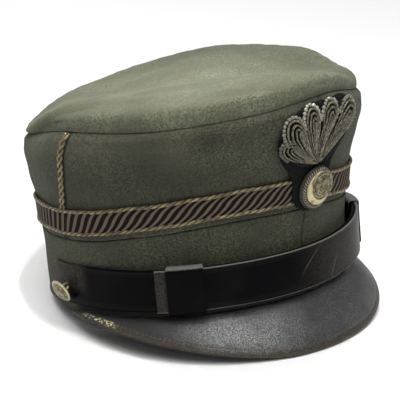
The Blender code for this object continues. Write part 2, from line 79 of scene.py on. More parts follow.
# The cap's outline round the head. The outs are shares of the band's width, the rises of the crown's height
Side = namedtuple("Side", "angle band_out waist_out rim_out rim_rise lace_rise")
SIDES = (
    Side(0, 0.000, 0.000, -0.006, 0.087, 0.018),
    Side(30, -0.011, 0.000, 0.011, 0.064, 0.037),
    Side(60, 0.000, 0.000, 0.016, 0.037, 0.007),
    Side(90, 0.013, 0.000, 0.006, 0.028, -0.041),
    Side(120, 0.000, -0.010, -0.008, -0.046, -0.056),
    Side(150, -0.015, -0.014, -0.015, -0.096, -0.080),
    Side(180, 0.000, -0.006, -0.009, -0.080, -0.070),
    Side(210, 0.008, 0.000, 0.007, -0.022, -0.045),
    Side(240, 0.003, 0.000, 0.019, 0.038, -0.025),
    Side(270, -0.013, 0.000, 0.010, 0.034, -0.030),
    Side(300, -0.003, 0.000, -0.013, -0.036, -0.055),
    Side(330, 0.011, 0.000, -0.021, 0.014, -0.037),
)

# The wall's upright section, as shares of its height, the flare, the lean forward and the outs above
Level = namedtuple("Level", "height flare forward waist rim")
LEVELS = (
    Level(0.00, 0.00, 0.00, 0.00, 0.00),
    Level(0.27, 0.00, 0.05, 0.30, 0.00),
    Level(0.45, 0.23, 0.17, 0.90, 0.21),
    Level(0.60, 0.41, 0.33, 1.00, 0.43),
    Level(0.78, 0.75, 0.60, 0.50, 0.70),
    Level(0.90, 0.98, 0.80, 0.10, 0.86),
    Level(0.96, 0.95, 0.91, 0.00, 0.95),
    Level(1.00, 0.70, 1.00, 0.00, 1.00),
)

# The top panel from its edge to its centre, as shares of the way in and of the puff's height
Puff = namedtuple("Puff", "step inward rise")
PUFFS = (
    Puff(0, 0.000, 0.00),
    Puff(1, -0.005, 0.30),
    Puff(2, -0.003, 0.62),
    Puff(3, 0.014, 0.90),
    Puff(4, 0.065, 1.04),
    Puff(5, 0.250, 1.10),
    Puff(6, 0.600, 1.06),
    Puff(7, 1.000, 1.00),
)

# The peak's lip, as shares of its reach and drop
Lip = namedtuple("Lip", "angle reach drop")
LIPS = (
    Lip(0, 1.00, 1.00),
    Lip(15, 1.00, 0.98),
    Lip(27, 1.00, 0.87),
    Lip(42, 0.97, 0.66),
    Lip(60, 0.84, 0.38),
    Lip(80, 0.50, 0.11),
    Lip(97, 0.15, 0.00),
)

# The badge's outline round its root: direction in degrees from straight up, reach as a share
Reach = namedtuple("Reach", "direction fan backing")
REACHES = (
    Reach(-180, 0.00, 0.66),
    Reach(-150, 0.00, 0.62),
    Reach(-120, 0.00, 0.45),
    Reach(-98, 0.10, 0.38),
    Reach(-80, 0.46, 0.53),
    Reach(-59, 0.92, 0.93),
    Reach(-38, 1.03, 1.01),
    Reach(-4, 0.86, 0.87),
    Reach(35, 0.95, 0.94),
    Reach(57, 0.84, 0.87),
    Reach(76, 0.52, 0.63),
    Reach(97, 0.12, 0.43),
    Reach(120, 0.00, 0.39),
    Reach(150, 0.00, 0.58),
    Reach(180, 0.00, 0.66),
)

# Petals of the fan: direction of the tip and of the root's side in degrees, half width in degrees, reach
# as a share, and how bright its scalloped edge is
Petal = namedtuple("Petal", "tip root half reach bright")
PETALS = (
    Petal(60, 68, 13, 0.84, 0.15),
    Petal(42, 53, 14, 1.04, 0.45),
    Petal(21, 24, 12.5, 0.97, 1.00),
    Petal(-6, -8, 16, 0.92, 0.50),
    Petal(-40, -48, 20, 1.04, 0.35),
)

# The lace's ribs lean more toward the front: sideways shift up the lace, as a share of its width
Lean = namedtuple("Lean", "angle share")
LEANS = (
    Lean(0, 0.85),
    Lean(40, 0.90),
    Lean(65, 0.75),
    Lean(85, 0.45),
    Lean(102, 0.12),
    Lean(180, 0.40),
    Lean(270, 0.60),
    Lean(330, 0.75),
)


def length(name, description, default):
    return FloatProperty(name=name, description=description, default=default, unit="LENGTH", precision=4)


def in_degrees(name, description, default):
    return FloatProperty(name=name, description=f"{description}, in degrees", default=default)


def colour(name, description, default):
    return FloatVectorProperty(
        name=name, description=description, default=default, subtype="COLOR", size=3, min=0, max=1
    )


class KepiCloth(PropertyGroup):
    band_length: length("Band length", "Outside of the band, front to back", 0.192)
    band_width: length("Band width", "Outside of the band, side to side", 0.179)
    band_height: length("Band height", "Lower edge to the band's seam", 0.049)
    band_cloth: length("Band cloth", "Thickness of the doubled band", 0.0024)
    crown_height: length("Crown height", "Lower edge to the rim's seam", 0.109)
    crown_flare: length("Flare", "How far the crown widens toward its rim", 0.0135)
    crown_cloth: length("Crown cloth", "Thickness of the crown's wall", 0.002)
    top_forward: length("Top forward", "How far the rim lies ahead of the band", 0.014)
    top_puff: length("Top puff", "Height of the top panel over its seam", 0.011)
    top_cloth: length("Top cloth", "Thickness of the top panel", 0.002)
    top_fold: length("Top fold", "Height of the soft fold at the right rear", 0.0042)
    # The wall and the top are one wool in two painted copies: the wall's darker as painted shade, the top's
    # lighter as painted light from above.
    wall_colour: colour("Wall", "Felted wool of the band and wall", (0.063, 0.065, 0.040))
    top_colour: colour("Top", "Felted wool of the top panel", (0.124, 0.130, 0.084))
    # Dark of the sewing thread; the wool also takes it as painted shade
    thread_colour: colour("Thread", "Sewing thread", (0.010, 0.011, 0.009))


class KepiTrim(PropertyGroup):
    lace_above_band: length("Lace above band", "Band's seam to the lace", 0.004)
    lace_width: length("Lace width", "Upright width of the lace", 0.016)
    lace_thickness: length("Lace thickness", "Thickness of the lace's ground", 0.001)
    lace_cord: length("Lace cord", "Radius of the cords along the lace's edges", 0.0011)
    lace_ribs: IntProperty(name="Lace ribs", description="Ribs round the cap", default=113, min=20, max=400)
    side_cord: length("Side cord", "Radius of each strand of the side cords", 0.00085)
    side_cord_top: in_degrees("Cord top", "Angle at the rim", 90)
    side_cord_foot: in_degrees("Cord foot", "Angle at the lace", 95)
    gold_colour: colour("Gold", "Old gold thread", (0.270, 0.225, 0.115))
    rib_colour: colour("Ribs", "Raised ribs of the lace", (0.118, 0.094, 0.068))
    ground_colour: colour("Ground", "Dark ground between the ribs", (0.009, 0.006, 0.005))


class KepiBadge(PropertyGroup):
    front_radius: length("Front radius", "Radius that turns badge widths into angles", 0.105)
    side: length("Side", "Boss's middle toward the wearer's right", 0.0035)
    root: length("Root", "Height where the strands meet", 0.079)
    root_side: length("Root side", "The root's middle toward the wearer's right", 0.0055)
    reach: length("Reach", "Longest strand from the root", 0.041)
    margin: length("Margin", "Felt shown round the embroidery", 0.002)
    felt: length("Felt", "Thickness of the felt backing", 0.0012)
    plume: length("Plume", "Thickness of the embroidered fan", 0.0024)
    relief: length("Relief", "How far the lobes swell", 0.0016)
    boss_height: length("Boss height", "Height of the boss's middle", 0.0642)
    boss_radius: length("Boss radius", "Outer radius of the rope ring", 0.0129)
    boss_bore: length("Boss bore", "Inner radius of the rope ring", 0.0065)
    boss_thickness: length("Boss thickness", "How far the ring stands up", 0.0036)
    disc_radius: length("Disc radius", "Radius of the brass disc", 0.0102)
    disc_thickness: length("Disc thickness", "Rise of the brass disc", 0.0022)
    silver_colour: colour("Silver", "Bright metal thread", (0.55, 0.54, 0.47))
    bullion_colour: colour("Bullion", "Dull metal thread", (0.27, 0.245, 0.165))
    felt_colour: colour("Felt", "Dark backing felt", (0.007, 0.007, 0.007))
    brass_colour: colour("Brass", "Pale brass", (0.64, 0.59, 0.35))


class KepiPeak(PropertyGroup):
    reach: length("Reach", "How far the lip lies ahead of the band", 0.0188)
    drop: length("Drop", "How far the lip hangs below the band", 0.0296)
    bulge: length("Bulge", "Arch between band and lip", 0.0026)
    leather: length("Leather", "Thickness of the leather", 0.0026)
    tip_angle: in_degrees("Tip angle", "Angle of the peak's ends", 97)
    line_inset: length("Line inset", "Sewn line to the lip", 0.0042)
    leather_colour: colour("Leather", "Black leather", (0.011, 0.012, 0.012))
    # Grey of wear, used also as a painted highlight where the light reflects
    worn_colour: colour("Worn leather", "Leather worn grey", (0.300, 0.306, 0.298))
    edge_colour: colour("Worn edge", "Brown edge of the lip", (0.058, 0.045, 0.025))


class KepiStrap(PropertyGroup):
    width: length("Width", "Width of the strap", 0.0253)
    leather: length("Leather", "Thickness of the strap", 0.0018)
    front_height: length("Front height", "Middle of the strap over the opening, in front", 0.0163)
    side_rise: length("Side rise", "How far it rises toward the sides", 0.0003)
    button_end: in_degrees("Button end", "Angle of the sewn end", 108)
    free_end: in_degrees("Free end", "Angle of the free end", 60.5)
    rounding: in_degrees("Rounding", "Angle of the rounded end", 5)
    settle_start: in_degrees("Settle start", "Past the free end", 4)
    settle_over: in_degrees("Settle over", "Angle of settling", 22)
    bow: length("Bow", "How far it stands off at the left front", 0.0035)
    bow_rise: length("Bow rise", "How far it rises there", 0.004)
    bow_angle: in_degrees("Bow angle", "Middle of the bow", -48)
    bow_spread: in_degrees("Bow spread", "Spread of the bow", 26)
    keeper_leather: length("Keeper leather", "Thickness of the keepers", 0.0012)
    keeper_from: in_degrees("Keeper from", "Front edge", 44)
    keeper_to: in_degrees("Keeper to", "Back edge", 56.5)
    leather_colour: colour("Leather", "Smooth black leather", (0.0022, 0.0019, 0.0026))
    # Grey of worn edges and creases, used also as a painted highlight on the edges
    worn_colour: colour("Worn leather", "Rubbed edges of the leather", (0.24, 0.24, 0.23))
    # Brown of dust, used also as painted sheen on the outer layer's left front and by the buttons
    dusty_colour: colour("Dusty leather", "Leather gone brown at its ends", (0.030, 0.027, 0.022))


class KepiButton(PropertyGroup):
    angle: in_degrees("Angle", "Angle round the head", 98)
    height: length("Height", "Height over the opening", 0.016)
    radius: length("Radius", "Radius of the face", 0.0075)
    dome: length("Dome", "Rise of the face", 0.0026)
    rim: length("Rim", "Height of the rim", 0.001)
    shank: length("Shank", "Length of the wire loop", 0.0065)
    shank_radius: length("Shank radius", "Half width of the shank's foot", 0.0015)
    wire: length("Wire", "Radius of the shank's wire", 0.0007)
    droop: in_degrees("Droop", "How far the face looks down", 24)
    metal_colour: colour("Metal", "Worn silvered brass", (0.56, 0.51, 0.33))
    tarnish_colour: colour("Tarnish", "Brown tarnish on the face", (0.10, 0.075, 0.035))


class KepiStage(PropertyGroup):
    azimuth: in_degrees("Azimuth", "Camera toward the wearer's right", 46.76)
    elevation: in_degrees("Elevation", "Camera above level", 19.6)
    distance: length("Distance", "Camera to the middle of the cap", 1.04515)
    focus_height: length("Focus height", "Height aimed at over the head opening", 0.060)
    lens: FloatProperty(name="Lens", description="Focal length in millimetres", default=152.907)
    shift_x: FloatProperty(name="Shift right", description="Shift as a share of the frame", default=0.0135)
    shift_y: FloatProperty(name="Shift up", description="Shift as a share of the frame", default=-0.05445)


def through(table, place, column, at, period=None):
    """Smooth curve through one column of a table, read at any places.

    Cubic Hermite pieces whose slope at a row is the harmonic mean of the slopes beside it, so the
    curve never swings past a row.
    """
    x = np.array([getattr(row, place) for row in table], float)
    y = np.array([getattr(row, column) for row in table], float)
    at = np.asarray(at, float)
    if period:
        x = np.concatenate([x[-2:] - period, x, x[:3] + period])
        y = np.concatenate([y[-2:], y, y[:3]])
        at = at % period
    rise = np.diff(y) / np.diff(x)
    same_way = np.maximum(rise[:-1] * rise[1:], 0)
    middle = 2 * same_way / np.where(same_way > 0, rise[:-1] + rise[1:], 1)
    slope = np.concatenate([rise[:1], middle, rise[-1:]])
    i = np.clip(np.searchsorted(x, at, side="right") - 1, 0, len(x) - 2)
    step = x[i + 1] - x[i]
    t = np.clip((at - x[i]) / step, 0, 1)
    start = (1 + 2 * t) * (1 - t) ** 2 * y[i] + t * (1 - t) ** 2 * step * slope[i]
    end = t**2 * (3 - 2 * t) * y[i + 1] - t**2 * (1 - t) * step * slope[i + 1]
    return start + end


def smooth(value, low, high):
    """0 below low, 1 above high, and an even S between."""
    t = np.clip((value - low) / (high - low), 0, 1)
    return t * t * (3 - 2 * t)


def bump(value, middle, spread):
    """Bell of height 1 round the middle."""
    return np.exp(-(((value - middle) / spread) ** 2))


def ripples(seed, u, v, size, count=7):
    """Soft uneven waves between about -1 and 1: a sum of sines in scattered directions.

    u and v are metres along the surface and size is the usual wavelength.
    """
    random = np.random.RandomState(seed)
    total = 0
    for _ in range(count):
        direction = random.uniform(0, 2 * pi)
        wave = 2 * pi / (size * random.uniform(0.7, 1.6))
        phase = random.uniform(0, 2 * pi)
        total = total + np.sin(wave * (u * np.cos(direction) + v * np.sin(direction)) + phase)
    return total / np.sqrt(count)


def to_row(points):
    """Cap's frame to the row's: the front is raised by the tilt, then the opening is moved to its place."""
    x, y, z = np.moveaxis(np.asarray(points, float), -1, 0)
    tilted_y = y * np.cos(TILT) + z * np.sin(TILT)
    tilted_z = z * np.cos(TILT) - y * np.sin(TILT)
    return np.stack([x, tilted_y, tilted_z], -1) + OPENING


def side(column, angle):
    """One column of SIDES at an angle."""
    return through(SIDES, "angle", column, angle, period=360)


def rim_height(angle):
    return bpy.context.scene.kepi_cloth.crown_height * (1 + side("rim_rise", angle))


def level_line(angle, height):
    """Height of a sewn line that follows the lace's slight waves."""
    return height + bpy.context.scene.kepi_cloth.crown_height * side("lace_rise", angle)


def wall(angle, height, out=0.0):
    """Points on the cap's outer cloth: an oval that widens and leans forward toward the rim.

    out stands them off it, level and away from the middle.
    """
    cloth = bpy.context.scene.kepi_cloth
    angle, height, out = np.broadcast_arrays(np.asarray(angle, float), height, out)
    share = height / rim_height(angle)
    level = {column: through(LEVELS, "height", column, share) for column in Level._fields}
    oval = (1 - level["rim"]) * side("band_out", angle) + level["rim"] * side("rim_out", angle)
    oval = oval + level["waist"] * side("waist_out", angle)
    reach = cloth.band_width * oval + cloth.crown_flare * level["flare"] + out
    turn = np.radians(angle)
    x = -(cloth.band_width / 2 + reach) * np.sin(turn)
    y = -(cloth.band_length / 2 + reach) * np.cos(turn) - cloth.top_forward * level["forward"]
    return np.stack([x, y, height], -1)


def around(angle):
    """Metres round the cap for an angle in degrees."""
    cloth = bpy.context.scene.kepi_cloth
    return np.radians(angle) * (cloth.band_length + cloth.band_width) / 4


def grid_part(points, wrap_rows=False, wrap_columns=False, poles=(), caps=False, **values):
    """One closed surface over a grid of points: (points, faces, values), with faces as vertex numbers.

    Quads join neighbours; a pole closes the first or last row and caps close the end columns with a
    fan to their mean point. The faces are turned outward by the sign of the enclosed volume.
    """
    rows, columns = points.shape[:2]
    low, left = np.meshgrid(
        np.arange(rows if wrap_rows else rows - 1),
        np.arange(columns if wrap_columns else columns - 1),
        indexing="ij",
    )
    high = (low + 1) % rows
    right = (left + 1) % columns
    corners = [low * columns + left, low * columns + right, high * columns + right, high * columns + left]
    faces = [np.stack(corners, -1).reshape(-1, 4)]
    all_points = [points.reshape(-1, 3)]
    spread = {name: np.broadcast_to(value, (rows, columns)) for name, value in values.items()}
    all_values = {name: [value.reshape(-1)] for name, value in spread.items()}
    number = np.arange(rows * columns).reshape(rows, columns)
    rings = []
    if "first" in poles:
        rings.append(number[0, ::-1])
    if "last" in poles:
        rings.append(number[-1])
    if caps:
        rings += [number[:, 0], number[::-1, -1]]
    for ring in rings:
        middle = sum(len(block) for block in all_points)
        all_points.append(all_points[0][ring].mean(axis=0)[None])
        for blocks in all_values.values():
            blocks.append(blocks[0][ring].mean()[None])
        corners = [ring, np.roll(ring, -1), np.full_like(ring, middle), np.full_like(ring, -1)]
        faces.append(np.stack(corners, -1))
    all_points = np.concatenate(all_points)
    faces = np.concatenate(faces)
    corner = all_points[np.where(faces < 0, faces[:, :1], faces)]
    halves = np.cross(corner[:, 1], corner[:, 2]) + np.cross(corner[:, 2], corner[:, 3])
    if np.einsum("ij,ij->", corner[:, 0], halves) < 0:
        turned = faces[:, ::-1]
        faces = np.where(turned[:, :1] < 0, np.roll(turned, -1, axis=1), turned)
    return all_points, faces, {name: np.concatenate(blocks) for name, blocks in all_values.items()}


def add_piece(name, parts, finish, slot, *nodes):
    """One object from closed parts, with their values as point attributes, in place of frame nodes."""
    starts = np.cumsum([0] + [len(points) for points, _, _ in parts[:-1]])
    points = to_row(np.concatenate([part[0] for part in parts]))
    faces = [np.where(part[1] < 0, -1, part[1] + start) for part, start in zip(parts, starts)]
    faces = np.concatenate(faces)
    sizes = (faces >= 0).sum(axis=1)
    corners = faces[faces >= 0]
    mesh = bpy.data.meshes.new(name)
    mesh.vertices.add(len(points))
    mesh.vertices.foreach_set("co", points.astype(np.float32).ravel())
    mesh.loops.add(len(corners))
    mesh.loops.foreach_set("vertex_index", corners.astype(np.int32))
    mesh.polygons.add(len(sizes))
    mesh.polygons.foreach_set("loop_start", np.concatenate([[0], np.cumsum(sizes)[:-1]]).astype(np.int32))
    mesh.polygons.foreach_set("loop_total", sizes.astype(np.int32))
    mesh.update(calc_edges=True)
    for key in parts[0][2]:
        value = np.concatenate([part[2][key] for part in parts]).astype(np.float32)
        mesh.attributes.new(key, "FLOAT", "POINT").data.foreach_set("value", value)
    mesh.shade_smooth()
    mesh.materials.append(finish)
    piece = bpy.data.objects.new(name, mesh)
    bpy.context.scene.collection.objects.link(piece)
    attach(piece, BODY)
    if nodes:
        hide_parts(*nodes)


# A strip's section: share of the way up, shift from it in metres, how far out, and 1 on the outer face
Section = namedtuple("Section", "share shift out face")


def strip_section(outer, inner, rounding, rows, back_rows=3, turns=4):
    """Closed section of a strip: outer face upward, rounded edge, inner face downward, rounded edge.

    The edges are quarter circles of the rounding's radius.
    """
    up = np.linspace(0, 1, rows)
    down = np.linspace(1, 0, back_rows)
    arc = np.linspace(0, pi / 2, turns + 1)
    one, none = np.ones(turns), np.zeros(turns)
    share = [up, one, one, down, none, none]
    shift = [
        rounding * (1 - 2 * up),
        rounding * (np.sin(arc[1:]) - 1),
        rounding * (np.cos(arc[:-1]) - 1),
        rounding * (1 - 2 * down),
        rounding * (1 - np.sin(arc[1:])),
        rounding * (1 - np.cos(arc[:-1])),
    ]
    out = [
        outer + 0 * up,
        outer - rounding * (1 - np.cos(arc[1:])),
        inner + rounding * (1 - np.sin(arc[:-1])),
        inner + 0 * down,
        inner + rounding * (1 - np.cos(arc[1:])),
        outer - rounding * (1 - np.sin(arc[:-1])),
    ]
    face = [1 + 0 * up, one * np.cos(arc[1:]), none, 0 * down, none, one * np.sin(arc[:-1])]
    return Section(*(np.concatenate(list(column))[:, None] for column in (share, shift, out, face)))


def wall_strip(angle, low, high, section, relief, **values):
    """A strip bent to the wall: its section carried right round the head.

    relief(angle, height) moves the outer face outward.
    """
    angle = angle[None, :]
    height = low + (high - low) * section.share + section.shift
    out = section.out + relief(angle, height) * section.face
    return grid_part(wall(angle, height, out), wrap_rows=True, wrap_columns=True, **values)


def sweep(path, along, out, section):
    """Tube along a path: a section of (across, outward) offsets in the plane square to the path.

    path, along and out are (points, 3), and the offsets (points, sides, 2).
    """
    along = along / np.linalg.norm(along, axis=1)[:, None]
    across = np.cross(along, out)
    across /= np.linalg.norm(across, axis=1)[:, None]
    up = np.cross(across, along)
    return path[:, None] + section[..., :1] * across[:, None] + section[..., 1:] * up[:, None]


def rope(path, out, radius, pitch, strands=2, depth=0.3, sides=10, closed=False):
    """Twisted cord: a round section with a bulge for each strand, turning once in each pitch.

    The radius at a turn a is r (1 - depth + depth |cos(strands (a - twist) / 2)|).
    """
    if closed:
        along = np.roll(path, -1, axis=0) - np.roll(path, 1, axis=0)
        steps = np.linalg.norm(np.roll(path, -1, axis=0) - path, axis=1)
        travelled = np.concatenate([[0], np.cumsum(steps)[:-1]])
        pitch = steps.sum() / max(1, round(steps.sum() / pitch * strands)) * strands
    else:
        along = np.gradient(path, axis=0)
        steps = np.linalg.norm(np.diff(path, axis=0), axis=1)
        travelled = np.concatenate([[0], np.cumsum(steps)])
    turn = np.arange(sides) * 2 * pi / sides
    twist = 2 * pi * travelled / pitch
    swell = np.abs(np.cos(strands * (turn[None] - twist[:, None]) / 2))
    size = radius * (1 - depth + depth * swell)
    section = np.stack([size * np.cos(turn), size * np.sin(turn)], -1)
    grid = sweep(path, along, out, section)
    if closed:
        return grid_part(grid, wrap_rows=True, wrap_columns=True, strand=swell)
    return grid_part(grid, wrap_columns=True, poles=("first", "last"), strand=swell)


def beads(places, along, out, sizes, rings=5, sides=8, **values):
    """Small ellipsoids at many places: half sizes along, across and outward for each."""
    along = along / np.linalg.norm(along, axis=-1)[..., None]
    across = np.cross(along, out)
    across /= np.linalg.norm(across, axis=-1)[..., None]
    up = np.cross(across, along)
    dip = np.linspace(0, pi, rings + 2)[1:-1]
    turn = np.arange(sides) * 2 * pi / sides
    ball = np.stack(
        [
            np.cos(dip)[:, None] + 0 * turn,
            np.sin(dip)[:, None] * np.cos(turn),
            np.sin(dip)[:, None] * np.sin(turn),
        ],
        -1,
    )
    parts = []
    sizes = np.broadcast_to(sizes, (len(places), 3))
    for place, first, second, third, size in zip(places, along, across, up, sizes):
        points = place + (ball * size) @ np.stack([first, second, third])
        parts.append(grid_part(points, wrap_columns=True, poles=("first", "last"), **values))
    return parts


def outward(angle):
    """Level direction away from the head."""
    cloth = bpy.context.scene.kepi_cloth
    turn = np.radians(angle)
    way = np.stack([-cloth.band_length * np.sin(turn), -cloth.band_width * np.cos(turn), 0 * turn], -1)
    return way / np.linalg.norm(way, axis=-1)[..., None]


class Wire:
    """A number, colour or vector in a material; arithmetic on a number adds Math nodes."""

    def __init__(self, finish, socket):
        self.finish = finish
        self.socket = socket

    def math(self, operation, first, second):
        return self.finish.node("ShaderNodeMath", {"operation": operation}, {0: first, 1: second})

    def __add__(self, other):
        return self.math("ADD", self, other)

    __radd__ = __add__

    def __mul__(self, other):
        return self.math("MULTIPLY", self, other)

    __rmul__ = __mul__

    def __sub__(self, other):
        return self.math("SUBTRACT", self, other)

    def __rsub__(self, other):
        return self.math("SUBTRACT", other, self)


class Finish:
    """A material under construction: one Principled BSDF and the nodes that feed it."""

    def __init__(self, name, **fixed):
        self.material = bpy.data.materials.new(name)
        self.material.use_nodes = True
        self.tree = self.material.node_tree
        self.shader = self.tree.nodes["Principled BSDF"]
        for key, value in fixed.items():
            self.shader.inputs[key.replace("_", " ").title().replace("Ior", "IOR")].default_value = value
        self.place = self.node("ShaderNodeTexCoord", {}, {}, "Object")

    def node(self, kind, settings, values, output=0):
        """A node of any type: its settings first, then its sockets' values or links."""
        made = self.tree.nodes.new(kind)
        for key, value in settings.items():
            setattr(made, key, value)
        for key, value in values.items():
            if isinstance(value, Wire):
                self.tree.links.new(value.socket, made.inputs[key])
            else:
                made.inputs[key].default_value = value
        return Wire(self, made.outputs[output])

    def noise(self, size, detail=2.0, rough=0.5):
        """Uneven value from 0 to 1, with patches of about the size in metres."""
        values = {"Vector": self.place, "Scale": 1 / size, "Detail": detail, "Roughness": rough}
        return self.node("ShaderNodeTexNoise", {}, values, "Fac")

    def cells(self, size):
        """Distance to the nearest of scattered points, about 0 to 1."""
        values = {"Vector": self.place, "Scale": 1 / size}
        return self.node("ShaderNodeTexVoronoi", {"feature": "F1"}, values, "Distance")

    def value(self, name):
        """One of the piece's own values."""
        return self.node("ShaderNodeAttribute", {"attribute_name": name}, {}, "Fac")

    def between(self, value, low, high, start=0.0, end=1.0):
        """start below low, end above high, and a smooth change between."""
        values = {0: value, 1: low, 2: high, 3: start, 4: end}
        return self.node("ShaderNodeMapRange", {"interpolation_type": "SMOOTHSTEP"}, values)

    def mix(self, share, first, second):
        """Colour between two others."""
        values = {0: share}
        for key, shade in ((6, first), (7, second)):
            values[key] = shade if isinstance(shade, Wire) else (*shade, 1)
        return self.node("ShaderNodeMix", {"data_type": "RGBA"}, values, 2)

    def feed(self, name, value):
        """Links a value to one of the shader's sockets."""
        self.tree.links.new(value.socket, self.shader.inputs[name])

    def raised(self, height, depth):
        """Bump from a height from 0 to 1, depth in metres."""
        values = {"Height": height, "Distance": depth, "Strength": 1.0}
        self.feed("Normal", self.node("ShaderNodeBump", {}, values))


def scaled(shade, factor):
    """A colour made darker or lighter."""
    return tuple(min(1.0, factor * channel) for channel in shade)


def felted_wool(name, shade, thread, speckle=1.0):
    """Short matted nap: speckled fibres over soft clouds, with a dull sheen. Painted highlights lighten it,
    and seams and painted shade darken it, where the piece marks them.
    """
    wool = Finish(name, roughness=0.95, specular_ior_level=0.15, sheen_weight=0.08, sheen_roughness=0.6)
    fibres = wool.noise(1.2 * MM, 4, 0.8)
    fluff = wool.noise(4.5 * MM, 3, 0.6)
    clouds = wool.noise(30 * MM, 3, 0.5)
    nap = wool.between(fibres, 0.40, 0.60)
    tone = wool.mix(nap, scaled(shade, 1 - 0.67 * speckle), scaled(shade, 1 + 0.72 * speckle))
    tone = wool.mix(wool.between(fluff, 0.35, 0.65, 0.0, 0.45), tone, scaled(shade, 0.75))
    tone = wool.mix(wool.between(clouds, 0.38, 0.62, 0.0, 0.6), tone, scaled(shade, 0.6))
    # Painted highlight where the piece marks it
    tone = wool.mix(wool.value("rubbed"), tone, scaled(shade, 1.9))
    # Dark thread colour along seams, and painted shade and darker patches where the piece marks them in its
    # seam value
    tone = wool.mix(wool.value("seam"), tone, thread)
    wool.feed("Base Color", tone)
    wool.raised(fibres * 0.8 + fluff * 0.5, 0.9 * MM * speckle)
    return wool.material


def lace_weave(name, trim):
    """Dark ground with raised ribs of mauve grey thread."""
    weave = Finish(name, roughness=0.7, specular_ior_level=0.08)
    threads = weave.noise(0.5 * MM, 2, 0.5)
    rib = weave.value("rib")
    light = weave.mix(threads, scaled(trim.rib_colour, 0.65), scaled(trim.rib_colour, 1.6))
    weave.feed("Base Color", weave.mix(weave.between(rib, 0.35, 0.7), trim.ground_colour, light))
    weave.raised(threads, 0.2 * MM)
    return weave.material


def metal_thread(name, bright, dull, shine, size, groove=(0.05, 0.55)):
    """Twisted thread wound with thin metal, with painted shade in the grooves between strands and worn in
    patches.
    """
    thread = Finish(name, roughness=0.42)
    strand = thread.value("strand")
    worn = thread.between(thread.noise(size, 3, 0.6), 0.35, 0.65)
    tone = thread.mix(worn, bright, dull)
    # Painted shade: the grooves between strands are darkened nearly to black.
    groove = thread.between(strand, *groove)
    thread.feed("Base Color", thread.mix(groove, scaled(dull, 0.12), tone))
    thread.feed("Metallic", groove * shine)
    thread.raised(thread.noise(0.35 * MM, 2, 0.5), 0.12 * MM)
    return thread.material


def all_round(count):
    """Angles round the whole head, in degrees, for a closed strip."""
    return np.arange(count) * 360 / count


def half_turn(angle):
    """An angle brought between -180 and 180."""
    return (angle + 180) % 360 - 180


# Seams up the middle of the front and back, and how far the side seams lie from their cords, in degrees
FRONT_SEAM = 3.2
BACK_SEAM = 180.0
SEAM_BY_CORD = 0.4


def seam_groove(angle, height, middle, half_width):
    """Share of a groove that runs up the wall at an angle, from the distance to it in metres."""
    return bump(around(half_turn(angle - middle)), 0, half_width) + 0 * height


def middle_seams(angle, height, half_width):
    """Grooves of the front and back seams."""
    return sum(seam_groove(angle, height, middle, half_width) for middle in (FRONT_SEAM, BACK_SEAM))


def cloth_waves(angle, height, seed):
    """Broad soft waves of the cloth in metres, with smaller ones over them."""
    broad = ripples(seed, around(angle), height, 45 * MM) * 0.55 * MM
    return broad + ripples(seed + 1, around(angle), height, 16 * MM) * 0.12 * MM


class KEPI_OT_band(Operator):
    """Lower cloth band, with a seam up its front and back and a sewn line above"""

    bl_idname = "kepi.band"
    bl_label = "Band"

    def execute(self, context):
        cloth = context.scene.kepi_cloth
        angle = all_round(800)
        low = 0 * angle
        high = level_line(angle, cloth.band_height)
        section = strip_section(0, -cloth.band_cloth, 0.9 * MM, 34, 6)

        def relief(turn, height):
            under_seam = smooth(height, cloth.band_height + 6 * MM, cloth.band_height - 6 * MM)
            free = smooth(height, 0, 4 * MM) * under_seam
            return cloth_waves(turn, height, 5) * free - 0.7 * MM * middle_seams(turn, height, 0.9 * MM)

        heights = low + (high - low) * section.share + section.shift
        turn = angle[None, :]
        # Painted sheen: the upper band is lighter round 100 degrees, by the button.
        rubbed = 0.3 * bump(turn, 100, 12) * smooth(heights, 20 * MM, 40 * MM)
        # Painted shadow of the strap: the band's lower edge over the peak is darkened to the thread's
        # colour.
        shadow_over_peak = smooth(abs(half_turn(turn)), 99, 92) * smooth(heights, 6.5 * MM, 4 * MM)
        seam = np.maximum(0.85 * middle_seams(turn, heights, 0.55 * MM), shadow_over_peak)
        # The band is also darker round 48 degrees.
        seam = np.maximum(seam, 0.16 * bump(turn, 48, 22)) * section.face
        part = wall_strip(angle, low, high, section, relief, seam=seam, rubbed=rubbed)
        finish = felted_wool("band wool", cloth.wall_colour, cloth.thread_colour)
        add_piece("band_cloth", [part], finish, "cloth", "cap_band")
        return {"FINISHED"}


